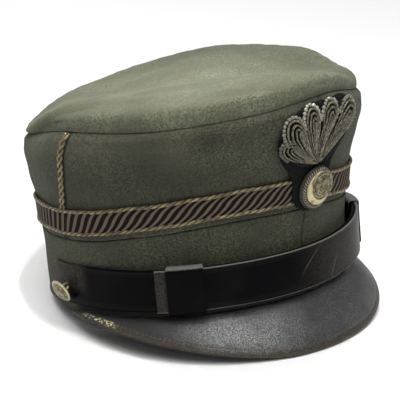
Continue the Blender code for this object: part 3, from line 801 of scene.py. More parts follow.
class KEPI_OT_crown_wall(Operator):
    """Cloth wall of the crown, in panels sewn at the sides, the front and the back"""

    bl_idname = "kepi.crown_wall"
    bl_label = "Crown wall"

    def execute(self, context):
        cloth = context.scene.kepi_cloth
        trim = context.scene.kepi_trim
        angle = all_round(800)
        low = level_line(angle, cloth.band_height) + GAP
        high = rim_height(angle)
        section = strip_section(0, -cloth.crown_cloth, 0.8 * MM, 60, 10)
        heights = low + (high - low) * section.share + section.shift
        turn = angle[None, :]

        def seams(half_width):
            cord_foot = lace_foot(turn) + trim.lace_width
            share = (heights - cord_foot) / (high - cord_foot)
            lean = trim.side_cord_foot + (trim.side_cord_top - trim.side_cord_foot) * share
            total = middle_seams(turn, heights, half_width)
            for middle in (lean - SEAM_BY_CORD, SEAM_BY_CORD - lean):
                total = total + seam_groove(turn, heights, middle, 2.2 * half_width)
            return total

        def relief(turn, height):
            free = smooth(height, high, high - 8 * MM)
            return cloth_waves(turn, height, 11) * free - 0.8 * MM * seams(1.0 * MM)

        below_rim = high - heights
        # Painted highlight: lighter cloth just under the rim round 80 and 52 degrees, and painted sheen near
        # the side round 112 degrees.
        rubbed = 0.35 * bump(below_rim, 9 * MM, 8 * MM) * bump(turn, 80, 26) + 0.25 * bump(turn, 112, 9)
        rubbed = rubbed + 0.3 * bump(turn, 52, 6) * bump(below_rim, 15 * MM, 9 * MM)
        # Darker patches just under the rim round 43 degrees and across the middle of the wall round 62
        # degrees.
        darker_patches = 0.45 * bump(turn, 43, 5) * bump(below_rim, 8 * MM, 6 * MM)
        darker_patches = darker_patches + 0.28 * bump(turn, 62, 19) * bump(below_rim, 28 * MM, 20 * MM)
        seam = (0.8 * seams(0.6 * MM) + darker_patches) * section.face
        part = wall_strip(angle, low, high, section, relief, seam=seam, rubbed=rubbed)
        finish = felted_wool("crown wool", cloth.wall_colour, cloth.thread_colour)
        add_piece("crown_cloth", [part], finish, "cloth", "crown_wall")
        return {"FINISHED"}


# Soft fold at the right rear: its line over the top panel, from the seam inward. The steps are those
# of PUFFS, and the height is a share of the fold's
Fold = namedtuple("Fold", "angle step height")
Numbered = namedtuple("Numbered", ("number", *Fold._fields))
FOLD_SAMPLES = 160
FOLD_BLUR = 8
RIDGE = (
    Fold(126, 0.4, 0.5),
    Fold(116, 1.6, 0.8),
    Fold(106, 2.8, 1.0),
    Fold(99, 3.9, 1.0),
    Fold(101, 4.5, 0.9),
    Fold(112, 5.1, 0.7),
    Fold(130, 5.6, 0.3),
    Fold(150, 6.0, 0.0),
)
HOLLOW = (
    Fold(112, 1.4, -0.4),
    Fold(100, 2.6, -0.7),
    Fold(92, 3.9, -0.8),
    Fold(90, 4.6, -0.6),
    Fold(94, 5.2, 0.0),
)


def fold_share(grid, step, line, spread):
    """Share of a fold: a bell of the distance to its line.

    The line is a smooth curve through its places, read at many samples and averaged along itself.
    """
    at = np.linspace(0, len(line) - 1, FOLD_SAMPLES)
    numbered = [Numbered(number, *row) for number, row in enumerate(line)]
    turn, up, height = (through(numbered, "number", column, at) for column in Fold._fields)
    column = np.round(turn / 360 * grid.shape[1]).astype(int) % grid.shape[1]
    row = np.abs(step[:, None] - up[None]).argmin(axis=0)
    wide = np.pad(grid[row, column], ((FOLD_BLUR, FOLD_BLUR), (0, 0)), "edge")
    even = np.ones(2 * FOLD_BLUR + 1) / (2 * FOLD_BLUR + 1)
    path = np.stack([np.convolve(wide[:, axis], even, "valid") for axis in range(3)], -1)
    best = np.full(grid.shape[:2], 1.0)
    rise = np.zeros(grid.shape[:2])
    for place, amount in zip(path, height):
        far = np.linalg.norm(grid - place, axis=-1)
        rise = np.where(far < best, amount * bump(far, 0, spread), rise)
        best = np.minimum(far, best)
    return rise


# Where the edge of the top is pressed lower: middle and spread in degrees, share of the puff
Press = namedtuple("Press", "angle spread share")
PRESSES = (Press(137, 26, 0.46), Press(-30, 16, 0.36))


def pressed_edge(angle, inward):
    """Share of the puff that is left near the edge where it is pressed."""
    loss = 0
    for press in PRESSES:
        loss = loss + press.share * bump(half_turn(angle - press.angle), 0, press.spread)
    return 1 - loss * (1 - smooth(inward, 0.0, 0.22))


class KEPI_OT_crown_top(Operator):
    """Puffed round top panel, sewn to the wall at its edge"""

    bl_idname = "kepi.crown_top"
    bl_label = "Top panel"

    def execute(self, context):
        cloth = context.scene.kepi_cloth
        angle = all_round(640)
        edge = wall(angle, rim_height(angle))
        middle = edge.mean(axis=0)

        tones = {}

        def sheet(steps, under):
            step = steps[:, None]
            inward = through(PUFFS, "step", "inward", step)
            rise = through(PUFFS, "step", "rise", step)
            turn = angle[None, :]
            points = edge[None] + (middle - edge)[None] * inward[..., None]
            points[..., 2] += GAP + cloth.top_puff * rise * pressed_edge(turn, inward)
            if not under:
                u, v = points[..., 0].copy(), points[..., 1].copy()
                soft = ripples(21, u, v, 60 * MM) * 0.45 * MM + ripples(22, u, v, 18 * MM) * 0.10 * MM
                pucker = ripples(23, around(turn) + 0 * u, 0 * v, 7 * MM) * 0.22 * MM * bump(step, 2.6, 1.3)
                lift = soft * smooth(step, 2, 4) + pucker
                ridge = fold_share(points, steps, RIDGE, 2.6 * MM)
                hollow = fold_share(points, steps, HOLLOW, 7 * MM)
                lift = lift + cloth.top_fold * (ridge + hollow)
                # Painted highlight along the fold's ridge, and in the seam value painted shade in its hollow
                # and toward the wearer's left.
                tones["rubbed"] = 0.55 * ridge
                tones["seam"] = -0.34 * hollow + 0.26 * smooth(points[..., 0], 10 * MM, 75 * MM)
                upward = smooth(step, 0.5, 4.0)
                points += outward(turn) * (lift * (1 - upward))[..., None]
                points[..., 2] += lift * upward
            else:
                inset = cloth.top_cloth * smooth(step, 3.6, 1.2)
                points -= outward(turn) * inset[..., None]
                points[..., 2] -= cloth.top_cloth * smooth(step, 0.6, 3.2)
            return points

        steps = np.concatenate([np.linspace(0, 4, 40), np.linspace(4, 7, 50)[1:-1]])
        upper = sheet(steps, False)
        lower = sheet(np.linspace(6.9, 0, 30), True)
        grid = np.concatenate([lower, upper])
        plain = np.zeros(lower.shape[:2])
        tones = {name: np.concatenate([plain, tone]) for name, tone in tones.items()}
        part = grid_part(grid, wrap_columns=True, poles=("first", "last"), **tones)
        # The top takes the lighter copy of the wool, painted light from above.
        finish = felted_wool("top wool", cloth.top_colour, cloth.thread_colour, 0.72)
        add_piece("crown_top_cloth", [part], finish, "top_cloth", "crown_top")
        return {"FINISHED"}


def lace_foot(angle):
    """Height of the lace's lower edge."""
    cloth, trim = bpy.context.scene.kepi_cloth, bpy.context.scene.kepi_trim
    return level_line(angle, cloth.band_height + trim.lace_above_band)


class KEPI_OT_lace(Operator):
    """Ribbed lace round the crown, edged with twisted gold cord, and the stitches below it"""

    bl_idname = "kepi.lace"
    bl_label = "Lace"

    def execute(self, context):
        trim = context.scene.kepi_trim
        angle = all_round(trim.lace_ribs * 10)
        foot = lace_foot(angle)
        cord = trim.lace_cord
        outer = LAYER_GAP + trim.lace_thickness
        section = strip_section(outer, LAYER_GAP, 0.4 * MM, 18, 3, 3)
        up = section.share * (trim.lace_width - 2 * cord)
        lean = through(LEANS, "angle", "share", angle, period=360)[None]
        turns = angle[None] / 360 * trim.lace_ribs
        pitch = around(360) / trim.lace_ribs
        curl = section.share - 0.5 + 0.07 * np.sin(2 * pi * section.share)
        uneven = 0.05 * ripples(33, around(angle)[None], up, 12 * MM)
        phase = turns + lean * curl * trim.lace_width / pitch + uneven
        rib = smooth(0.5 + 0.5 * np.cos(2 * pi * phase), 0.35, 0.85) + 0 * up
        strip = wall_strip(
            angle, foot + cord, foot + trim.lace_width - cord, section,
            lambda turn, height: 0.45 * MM * rib, rib=rib,
        )
        weave = lace_weave("lace weave", trim)
        add_piece("lace_ribs", [strip], weave, "lace", "lace_band")

        cords = []
        around_points = all_round(1600)
        away = outward(around_points)
        for seed, height in ((31, cord), (32, trim.lace_width - cord)):
            wobble = ripples(seed, around(around_points), 0 * around_points, 16 * MM, 9) * 0.22 * MM
            path = wall(around_points, lace_foot(around_points) + height + wobble, LAYER_GAP + cord)
            cords.append(rope(path, away, cord, 9 * MM, 2, 0.4, 12, closed=True))
        shades = scaled(trim.gold_colour, 1.25), scaled(trim.gold_colour, 0.42)
        gold = metal_thread("old gold thread", *shades, 0.35, 5 * MM, (0.15, 0.8))
        add_piece("lace_cords", cords, gold, "gold_cord")

        spots = all_round(230)
        cloth = context.scene.kepi_cloth
        place = wall(spots, level_line(spots, cloth.band_height) - 0.6 * MM, 0.10 * MM)
        ahead = np.roll(place, -1, axis=0) - np.roll(place, 1, axis=0)
        stitches = beads(place, ahead, outward(spots), (0.85 * MM, 0.3 * MM, 0.25 * MM), 4, 6)
        thread = Finish("dark thread", roughness=0.8)
        shades = cloth.thread_colour, scaled(cloth.thread_colour, 2.5)
        thread.feed("Base Color", thread.mix(thread.noise(1 * MM), *shades))
        add_piece("band_stitches", stitches, thread.material, "cloth")
        return {"FINISHED"}


# The side cords' strands twist once in each pitch, and swing to both sides of their middle line
SIDE_CORD_PITCH = 9.2 * MM
SIDE_CORD_SWING = 1.2 * MM


class KEPI_OT_side_cords(Operator):
    """Two loose gold strands twisted together, up each side seam"""

    bl_idname = "kepi.side_cords"
    bl_label = "Side cords"

    def execute(self, context):
        trim = context.scene.kepi_trim
        shades = scaled(trim.gold_colour, 1.5), scaled(trim.gold_colour, 0.5)
        gold = metal_thread("side cord thread", *shades, 0.3, 3 * MM, (0.2, 0.85))
        for word, cord_side in BOTH_SIDES:
            foot = lace_foot(trim.side_cord_foot * cord_side) + trim.lace_width + 0.2 * MM
            top = rim_height(trim.side_cord_top * cord_side) - 0.6 * MM
            up = np.linspace(0, 1, 260)
            height = foot + (top - foot) * up
            angle = cord_side * (trim.side_cord_foot + (trim.side_cord_top - trim.side_cord_foot) * up)
            turn = 2 * pi * up * (top - foot) / SIDE_CORD_PITCH
            strands = []
            for phase in (0, pi):
                swing = SIDE_CORD_SWING * np.cos(turn + phase)
                stand = trim.side_cord * 1.5 + 0.55 * MM * np.sin(turn + phase)
                path = wall(angle + np.degrees(swing / SIDE_RADIUS), height, stand)
                strands.append(rope(path, outward(angle), trim.side_cord, 1.6 * MM, 2, 0.22, 8))
            add_piece(f"cord_{word}", strands, gold, "gold_cord", f"side_cord_{word}")
        return {"FINISHED"}


def badge_point(across, up, out):
    """Points over the front of the wall: across toward the wearer's right, up from the opening."""
    return wall(np.degrees(across / bpy.context.scene.kepi_badge.front_radius), up, out)


def backing_out(up):
    """How far the felt stands off: over the lace at its lower end, then in to the cloth above it."""
    cloth, trim = bpy.context.scene.kepi_cloth, bpy.context.scene.kepi_trim
    over_lace = LAYER_GAP + trim.lace_thickness + LAYER_GAP
    lace_top = cloth.band_height + trim.lace_above_band + trim.lace_width
    share = smooth(up, lace_top + 5 * MM, lace_top + 19 * MM)
    return over_lace + (2 * LAYER_GAP - over_lace) * share


def fan(direction, reach, out):
    """Points round the badge's root: a reach in metres in each direction from straight up."""
    badge = bpy.context.scene.kepi_badge
    turn = np.radians(direction)
    up = badge.root + reach * np.cos(turn)
    return badge_point(badge.root_side + reach * np.sin(turn), up, backing_out(up) + out)


class KEPI_OT_badge_felt(Operator):
    """Dark felt cut round the fan and the boss"""

    bl_idname = "kepi.badge_felt"
    bl_label = "Badge felt"

    def execute(self, context):
        badge = context.scene.kepi_badge
        direction = 180 - all_round(240)
        turn = np.radians(direction)
        reach = badge.reach * through(REACHES, "direction", "backing", direction) + badge.margin
        reach = reach + 0.25 * MM * ripples(41, reach * np.sin(turn), reach * np.cos(turn), 3 * MM)
        share = np.array([0.15, 0.35, 0.55, 0.72, 0.86, 0.95, 0.985, 1.0])
        edge = badge.felt * np.array([0, 0, 0, 0, 0, 0, 0.12, 0.5])
        under = fan(direction[None], reach[None] * share[:, None], edge[:, None])
        over = fan(direction[None], reach[None] * share[::-1, None], badge.felt - edge[::-1, None])
        part = grid_part(np.concatenate([under, over]), wrap_columns=True, poles=("first", "last"))
        felt = Finish("dark felt", roughness=0.95, specular_ior_level=0.1)
        fibres = felt.noise(0.8 * MM, 3, 0.6)
        shades = scaled(badge.felt_colour, 0.5), scaled(badge.felt_colour, 2.2)
        felt.feed("Base Color", felt.mix(fibres, *shades))
        felt.raised(fibres, 0.4 * MM)
        add_piece("badge_felt", [part], felt.material, "felt", "badge_backing")
        return {"FINISHED"}


# Power of the cosine that rounds a petal's tip, and each petal's arches as shares of its size
ROUNDNESS = 0.42
STRAND_SIZES = (0.10, 0.36, 0.61, 0.84)


def petal_place(petal, size, turn, swell):
    """A petal's outline at a size, with the turn in radians from its tip.

    The reach falls from the tip by a power of the cosine and the width grows by the sine, so the
    outline is an egg whose narrow end is the badge's root. Given are its points, the way out of the
    cloth there and the reach from the root.
    """
    badge = bpy.context.scene.kepi_badge
    tip = badge.reach * petal.reach * (0.70 + 0.30 * size)
    root = 1.6 * MM
    reach = root + (tip - root) * np.clip(np.cos(turn), 0, 1) ** ROUNDNESS
    middle = petal.root + (petal.tip - petal.root) * reach / tip
    narrow = 1 - 0.1 * smooth(abs(turn), 1.2, pi / 2)
    direction = middle + petal.half * size * np.sin(turn) * narrow
    across = badge.root_side + reach * np.sin(np.radians(direction))
    away = outward(np.degrees(across / badge.front_radius))
    return fan(direction, reach, swell), away, reach


def petal_strand(petal, size, turn, base):
    """One arch of twisted bullion, from the root over the petal's tip and back."""
    badge = bpy.context.scene.kepi_badge
    rise = badge.plume * 0.6 + badge.relief * (1 - size**2) + 0.5 * MM * np.cos(turn)
    rise = rise + 0.25 * MM * ripples(int(100 * size) + int(petal.tip) + 60, turn * 8 * MM, 0 * turn, 5 * MM)
    path, away, reach = petal_place(petal, size, turn, base + rise)
    radius = (0.34 + 0.38 * np.clip(reach / badge.reach, 0, 1))[:, None] * MM
    return rope(path, away, radius, 2.2 * MM, 2, 0.4, 10)


def petal_scallops(petal, base):
    """Beads of bright thread round the petal's tip."""
    badge = bpy.context.scene.kepi_badge
    fine = np.linspace(-1.15, 1.15, 200)
    path, _, _ = petal_place(petal, 1.0, fine, base + badge.plume * 0.55)
    travelled = np.concatenate([[0], np.cumsum(np.linalg.norm(np.diff(path, axis=0), axis=1))])
    count = int(travelled[-1] / (2.3 * MM))
    at = np.interp((np.arange(count) + 0.5) / count * travelled[-1], travelled, fine)
    place, away, _ = petal_place(petal, 1.0, at, base + badge.plume * 0.6)
    uneven = 0.95 + 0.3 * np.random.RandomState(count).rand(count)
    sizes = uneven[:, None] * (1.1 * MM, 1.1 * MM, 0.85 * MM)
    return beads(place, np.gradient(place, axis=0), away, sizes, 5, 8, strand=petal.bright)


class KEPI_OT_badge_fan(Operator):
    """Embroidered fan: strands of bullion that spread from the root into lobes with scalloped edges"""

    bl_idname = "kepi.badge_fan"
    bl_label = "Badge fan"

    def execute(self, context):
        badge = context.scene.kepi_badge
        base = badge.felt + GAP
        direction = all_round(180) - 180
        fit = badge.reach * through(REACHES, "direction", "fan", direction) * 0.93 + 0.8 * MM
        share = np.array([0.15, 0.4, 0.65, 0.85, 0.96, 1.0])
        low = fan(direction[None], fit * share[:, None], base)
        rise = 1.2 * MM * np.array([0.3, 1, 1, 1, 1, 1])
        high = fan(direction[None], fit * share[::-1, None], base + rise[:, None])
        pad = grid_part(np.concatenate([low, high]), wrap_columns=True, poles=("first", "last"))
        strands, scallops = [], []
        share = 1 - (1 - np.linspace(0, 1, 48)) ** 2
        turn = np.arccos(share ** (1 / ROUNDNESS))
        turn = np.concatenate([-turn, turn[-2::-1]])
        for petal in PETALS:
            for size in STRAND_SIZES:
                strands.append(petal_strand(petal, size, turn, base))
            scallops += petal_scallops(petal, base)
        shades = scaled(badge.bullion_colour, 1.3), scaled(badge.bullion_colour, 0.3)
        dull = metal_thread("bullion thread", *shades, 0.4, 1.6 * MM, (0.2, 0.9))
        shades = badge.silver_colour, scaled(badge.bullion_colour, 1.2)
        bright = metal_thread("silver thread", *shades, 0.6, 2.5 * MM, (-0.2, 1.1))
        ground = Finish("fan ground", roughness=0.8, specular_ior_level=0.1)
        shades = (0.006, 0.006, 0.005), (0.016, 0.014, 0.011)
        ground.feed("Base Color", ground.mix(ground.noise(0.8 * MM), *shades))
        add_piece("fan_ground", [pad], ground.material, "bullion")
        add_piece("fan_strands", strands, dull, "bullion", "badge_plume")
        add_piece("fan_scallops", scallops, bright, "bullion")
        return {"FINISHED"}


# Sections of the boss's ring and disc, as shares of their width or radius and of their thickness
Turned = namedtuple("Turned", "out rise")
RING_SECTION = (
    Turned(0.00, 0.00),
    Turned(0.50, 0.00),
    Turned(0.95, 0.00),
    Turned(1.00, 0.12),
    Turned(1.00, 0.35),
    Turned(0.93, 0.55),
    Turned(0.80, 0.72),
    Turned(0.50, 0.86),
    Turned(0.00, 0.90),
)
DISC_SECTION = (
    Turned(0.05, 0.00),
    Turned(0.90, 0.00),
    Turned(1.00, 0.10),
    Turned(1.00, 0.45),
    Turned(0.96, 0.62),
    Turned(0.90, 0.64),
    Turned(0.84, 0.56),
    Turned(0.75, 0.60),
    Turned(0.50, 0.80),
    Turned(0.20, 0.95),
)

# Ropes on the ring: inset, radius and pitch in metres, rise as a share of the thickness, brightness
BossRope = namedtuple("BossRope", "inset rise radius pitch light")
BOSS_ROPES = (
    BossRope(0.0008, 0.34, 0.00095, 0.0024, 0.5),
    BossRope(0.0020, 0.90, 0.00135, 0.0032, 1.0),
)

# The coil of thread on the disc: its turns, its radius, and how far it lies to one side
COIL_TURNS = 5.2
COIL_RADIUS = 8.9 * MM
COIL_ASIDE = 1.5 * MM


def boss_point(radius, turn, out):
    """Points round the boss's middle, bent to the front of the wall."""
    badge = bpy.context.scene.kepi_badge
    base = backing_out(0) + badge.felt + GAP
    across = badge.side + radius * np.sin(turn)
    return badge_point(across, badge.boss_height + radius * np.cos(turn), base + out)


class KEPI_OT_badge_boss(Operator):
    """Ring of twisted rope round a pale brass disc with a coil of raised thread on it"""

    bl_idname = "kepi.badge_boss"
    bl_label = "Badge boss"

    def execute(self, context):
        badge = context.scene.kepi_badge
        turn = np.radians(all_round(120))
        out, rise = np.array(RING_SECTION).T[:, :, None]
        radius = badge.boss_bore + (badge.boss_radius - badge.boss_bore) * out
        # The pad under the ropes takes the grooves' dark colour: painted shade between the ropes.
        pad = grid_part(boss_point(radius, turn, badge.boss_thickness * rise), True, True, strand=0.32)
        fine = np.radians(all_round(900))
        ropes = []
        for row in BOSS_ROPES:
            path = boss_point(badge.boss_radius - row.inset, fine, row.rise * badge.boss_thickness)
            made = rope(path, outward(0 * fine), row.radius, row.pitch, 2, 0.5, 12, closed=True)
            made[2]["strand"] *= row.light
            ropes.append(made)
        shades = scaled(badge.silver_colour, 0.72), scaled(badge.bullion_colour, 0.8)
        rope_metal = metal_thread("boss rope", *shades, 0.3, 2 * MM, (0.45, 0.95))
        add_piece("boss_rope", [pad, *ropes], rope_metal, "rope", "badge_boss")

        foot = badge.boss_thickness + GAP
        out, rise = np.array(DISC_SECTION).T[:, :, None]
        face = boss_point(badge.disc_radius * out, turn, foot + badge.disc_thickness * rise)
        disc = grid_part(face, wrap_columns=True, poles=("first", "last"))
        brass = Finish("pale brass", roughness=0.5)
        tarnish = brass.between(brass.noise(3.5 * MM, 4, 0.65), 0.50, 0.74)
        brass.feed("Base Color", brass.mix(tarnish, badge.brass_colour, scaled(badge.brass_colour, 0.35)))
        brass.feed("Metallic", 0.55 - 0.4 * tarnish)
        brass.raised(brass.noise(1.2 * MM, 3), 0.15 * MM)
        add_piece("boss_disc", [disc], brass.material, "badge_brass", "badge_disc")

        coil = np.linspace(0, 1, 520)
        spin = 2 * pi * COIL_TURNS * coil
        radius = COIL_RADIUS * (0.08 + 0.92 * coil)
        uneven = 0.35 * MM * ripples(51, spin * 3 * MM, 0 * coil, 6 * MM)
        rise = badge.disc_thickness * (0.98 - 0.25 * coil) + uneven
        across = radius * np.sin(spin) - COIL_ASIDE
        up = radius * np.cos(spin) + 0.6 * COIL_ASIDE
        path = boss_point(np.hypot(across, up), np.arctan2(across, up), foot + rise)
        thread = rope(path, outward(0 * coil), 0.75 * MM, 1.9 * MM, 2, 0.35, 8)
        shades = scaled(badge.brass_colour, 0.6), (0.10, 0.062, 0.035)
        rough = metal_thread("coil thread", *shades, 0.25, 2.5 * MM)
        add_piece("boss_coil", [thread], rough, "bullion")
        return {"FINISHED"}


def peak_point(angle, share):
    """Points on the peak's upper face: from the band's edge outward and down, arched between.

    The line from root to lip goes out by the reach and down by the drop, and bulges square to itself
    by 4 s (1 - s) times the bulge.
    """
    peak = bpy.context.scene.kepi_peak
    root = wall(angle, 0 * angle) - np.array([0, 0, GAP])
    reach = peak.reach * through(LIPS, "angle", "reach", abs(angle))
    drop = peak.drop * through(LIPS, "angle", "drop", abs(angle))
    run = np.hypot(reach, drop)
    arch = 4 * share * (1 - share) * peak.bulge * run / hypot(peak.reach, peak.drop)
    forth = reach * share + arch * drop / run
    down = drop * share - arch * reach / run
    points = root + outward(angle) * forth[..., None]
    points[..., 2] -= down
    return points, run


# Length of a stitch along the peak's lip
PEAK_STITCH = 2.4 * MM


class KEPI_OT_peak(Operator):
    """Leather peak with a rounded lip and a sewn line inside it"""

    bl_idname = "kepi.peak"
    bl_label = "Peak"

    def execute(self, context):
        peak = context.scene.kepi_peak
        angle = np.linspace(-peak.tip_angle, peak.tip_angle, 540)[None]
        section = strip_section(0, -peak.leather, 1.1 * MM, 46, 12, 5)
        _, run = peak_point(angle, 0 * angle)
        share = np.clip(section.share + section.shift / run, 0, 1)
        points, _ = peak_point(angle + 0 * share, share)
        nearby, _ = peak_point(angle + 0 * share, np.where(share > 0.5, share - 0.02, share + 0.02))
        down = np.where((share > 0.5)[..., None], points - nearby, nearby - points)
        along = np.gradient(points, axis=1)
        normal = np.cross(along, down)
        normal /= np.linalg.norm(normal, axis=-1)[..., None]
        if normal[:, :, 2].mean() < 0:
            normal = -normal
        inset = (1 - share) * run
        sewn = smooth(abs(angle), peak.tip_angle - 4, peak.tip_angle - 10)
        line = bump(inset, peak.line_inset, 0.45 * MM) * sewn
        soft = ripples(61, around(angle) + 0 * share, inset, 30 * MM) * 0.25 * MM
        free = smooth(inset, 0, 6 * MM) * smooth(share * run, 0, 3 * MM)
        relief = (soft * free - 0.35 * MM * line) * section.face
        grid = points + normal * (section.out + relief)[..., None]
        # Painted highlight where the overhead light reflects: strongest round 34 degrees midway out, weaker
        # round -22 degrees, and faint up to 60 degrees.
        rubbed = 0.05 * smooth(angle, 60, 38) + 0.98 * bump(angle, 34, 18) * bump(share, 0.6, 0.5)
        rubbed = rubbed + 0.30 * bump(angle, -22, 28)
        stitch = line * (0.5 + 0.5 * np.cos(2 * pi * around(angle) / PEAK_STITCH))
        marks = {"inset": inset, "line": line, "stitch": stitch, "rubbed": rubbed, "side_angle": angle}
        part = grid_part(grid, wrap_rows=True, caps=True, **marks)
        add_piece("peak_leather", [part], worn_leather(peak), "peak_leather", "peak")
        return {"FINISHED"}


def worn_leather(peak):
    """Grained black leather grey in patches, partly from wear and partly as a painted highlight where the
    light reflects, with a brown edge and small flakes of pale paint.
    """
    hide = Finish("peak leather", roughness=0.4)
    grain = hide.cells(0.85 * MM)
    specks = hide.noise(0.7 * MM, 3, 0.7)
    patches = hide.noise(16 * MM, 4, 0.6)
    inset = hide.value("inset")
    turn = hide.value("side_angle")
    # Speckled grey patches, partly wear, placed where the piece marks its painted highlight.
    rubbed = hide.between(patches, 0.3, 0.65, 0.45, 1.0) * hide.between(specks, 0.42, 0.60, 0.1, 1.0)
    tone = hide.mix(rubbed * hide.value("rubbed"), peak.leather_colour, peak.worn_colour)
    ragged = hide.noise(3.5 * MM, 4, 0.7)
    edge = hide.between(inset + (ragged - 0.5) * (11 * MM), 4.4 * MM, 2.4 * MM)
    browns = scaled(peak.edge_colour, 0.12), scaled(peak.edge_colour, 1.1)
    brown = hide.mix(hide.between(specks, 0.4, 0.62), *browns)
    tone = hide.mix(edge * 0.92, tone, brown)
    tone = hide.mix(hide.value("line") * 0.7, tone, scaled(peak.leather_colour, 0.3))
    tone = hide.mix(hide.value("stitch") * 0.5, tone, scaled(peak.edge_colour, 3.0))
    flecks = hide.between(hide.noise(1.3 * MM, 3, 0.7), 0.63, 0.68) * hide.between(inset, 7 * MM, 4 * MM)
    tone = hide.mix(flecks * 0.7, tone, (0.30, 0.25, 0.13))
    flakes = hide.between(hide.cells(1.5 * MM) + (ragged - 0.5) * 1.6, 0.50, 0.38)
    near = hide.between(turn, 74.0, 77.0) * hide.between(turn, 93.0, 89.0)
    near = near * hide.between(inset, 5.8 * MM, 4.2 * MM) * hide.between(inset, 1.2 * MM, 2.0 * MM)
    tone = hide.mix(flakes * near, tone, (0.62, 0.56, 0.33))
    hide.feed("Base Color", tone)
    dulled = hide.between(turn, 36.0, 60.0)
    hide.feed("Roughness", hide.between(specks, 0.3, 0.7, 0.34, 0.6) + dulled * 0.32)
    hide.raised(grain * 0.6 + specks * 0.6, 0.22 * MM)
    return hide.material


def strap_bow(angle):
    """Share of the bow by which the strap stands off the band on the wearer's left front."""
    strap = bpy.context.scene.kepi_strap
    return bump(angle, strap.bow_angle, strap.bow_spread)


def strap_middle(angle):
    """Height of the strap's middle line, which rises toward the buttons and where it bows out."""
    strap = bpy.context.scene.kepi_strap
    rise = strap.side_rise * (1 - np.cos(np.radians(angle)))
    return strap.front_height + rise + strap.bow_rise * strap_bow(angle)


def under_strap_out(angle):
    """How far the under layer stands off the band, over the keeper's leather."""
    strap = bpy.context.scene.kepi_strap
    return LAYER_GAP + strap.keeper_leather + LAYER_GAP + strap.bow * strap_bow(angle)


def over_strap_out(angle):
    """How far the outer layer stands off the band, over the under layer."""
    return under_strap_out(angle) + bpy.context.scene.kepi_strap.leather + LAYER_GAP


def smooth_leather(name, strap, wear_and_sheen_by):
    """Smooth black leather, faintly creased, with worn edges also lightened as a painted highlight, and
    brown dust with painted sheen in patches.
    """
    hide = Finish(name, roughness=0.3, specular_ior_level=0.04)
    specks = hide.noise(0.8 * MM, 3, 0.7)
    clouds = hide.noise(22 * MM, 3, 0.5)
    edge = hide.value("edge")
    crease = hide.value("crease")
    # Edges lighter as wear and as a painted highlight.
    worn = hide.between(edge * (0.45 + specks), 0.35, 1.0) * wear_and_sheen_by
    cloudy = scaled(strap.dusty_colour, 0.35)
    tone = hide.mix(hide.between(clouds, 0.45, 0.7) * 0.25, strap.leather_colour, cloudy)
    browns = scaled(strap.dusty_colour, 0.5), scaled(strap.dusty_colour, 1.8)
    dust_and_sheen_tone = hide.mix(hide.between(specks, 0.36, 0.64), *browns)
    # Brown dust at the free end and on the pressed lines, and painted sheen on the left front and by the
    # buttons.
    tone = hide.mix(hide.value("dust"), tone, dust_and_sheen_tone)
    tone = hide.mix(worn, tone, strap.worn_colour)
    tone = hide.mix(crease * specks, tone, strap.worn_colour)
    hide.feed("Base Color", tone)
    hide.feed("Roughness", hide.between(specks, 0.3, 0.7, 0.26, 0.42) + worn * 0.25)
    hide.raised(specks * 0.5 + hide.cells(1.1 * MM) * 0.4, 0.08 * MM)
    return hide.material


# Creases of the strap in front: angle in degrees, middle as a share of the half width, half length in
# metres. They lean by a share of the way up and curve by its square
Crease = namedtuple("Crease", "angle middle size")
CREASES = (Crease(6.0, 0.35, 0.0065), Crease(-11.0, -0.4, 0.0060))
CREASE_LEAN = 0.9
CREASE_CURVE = 28


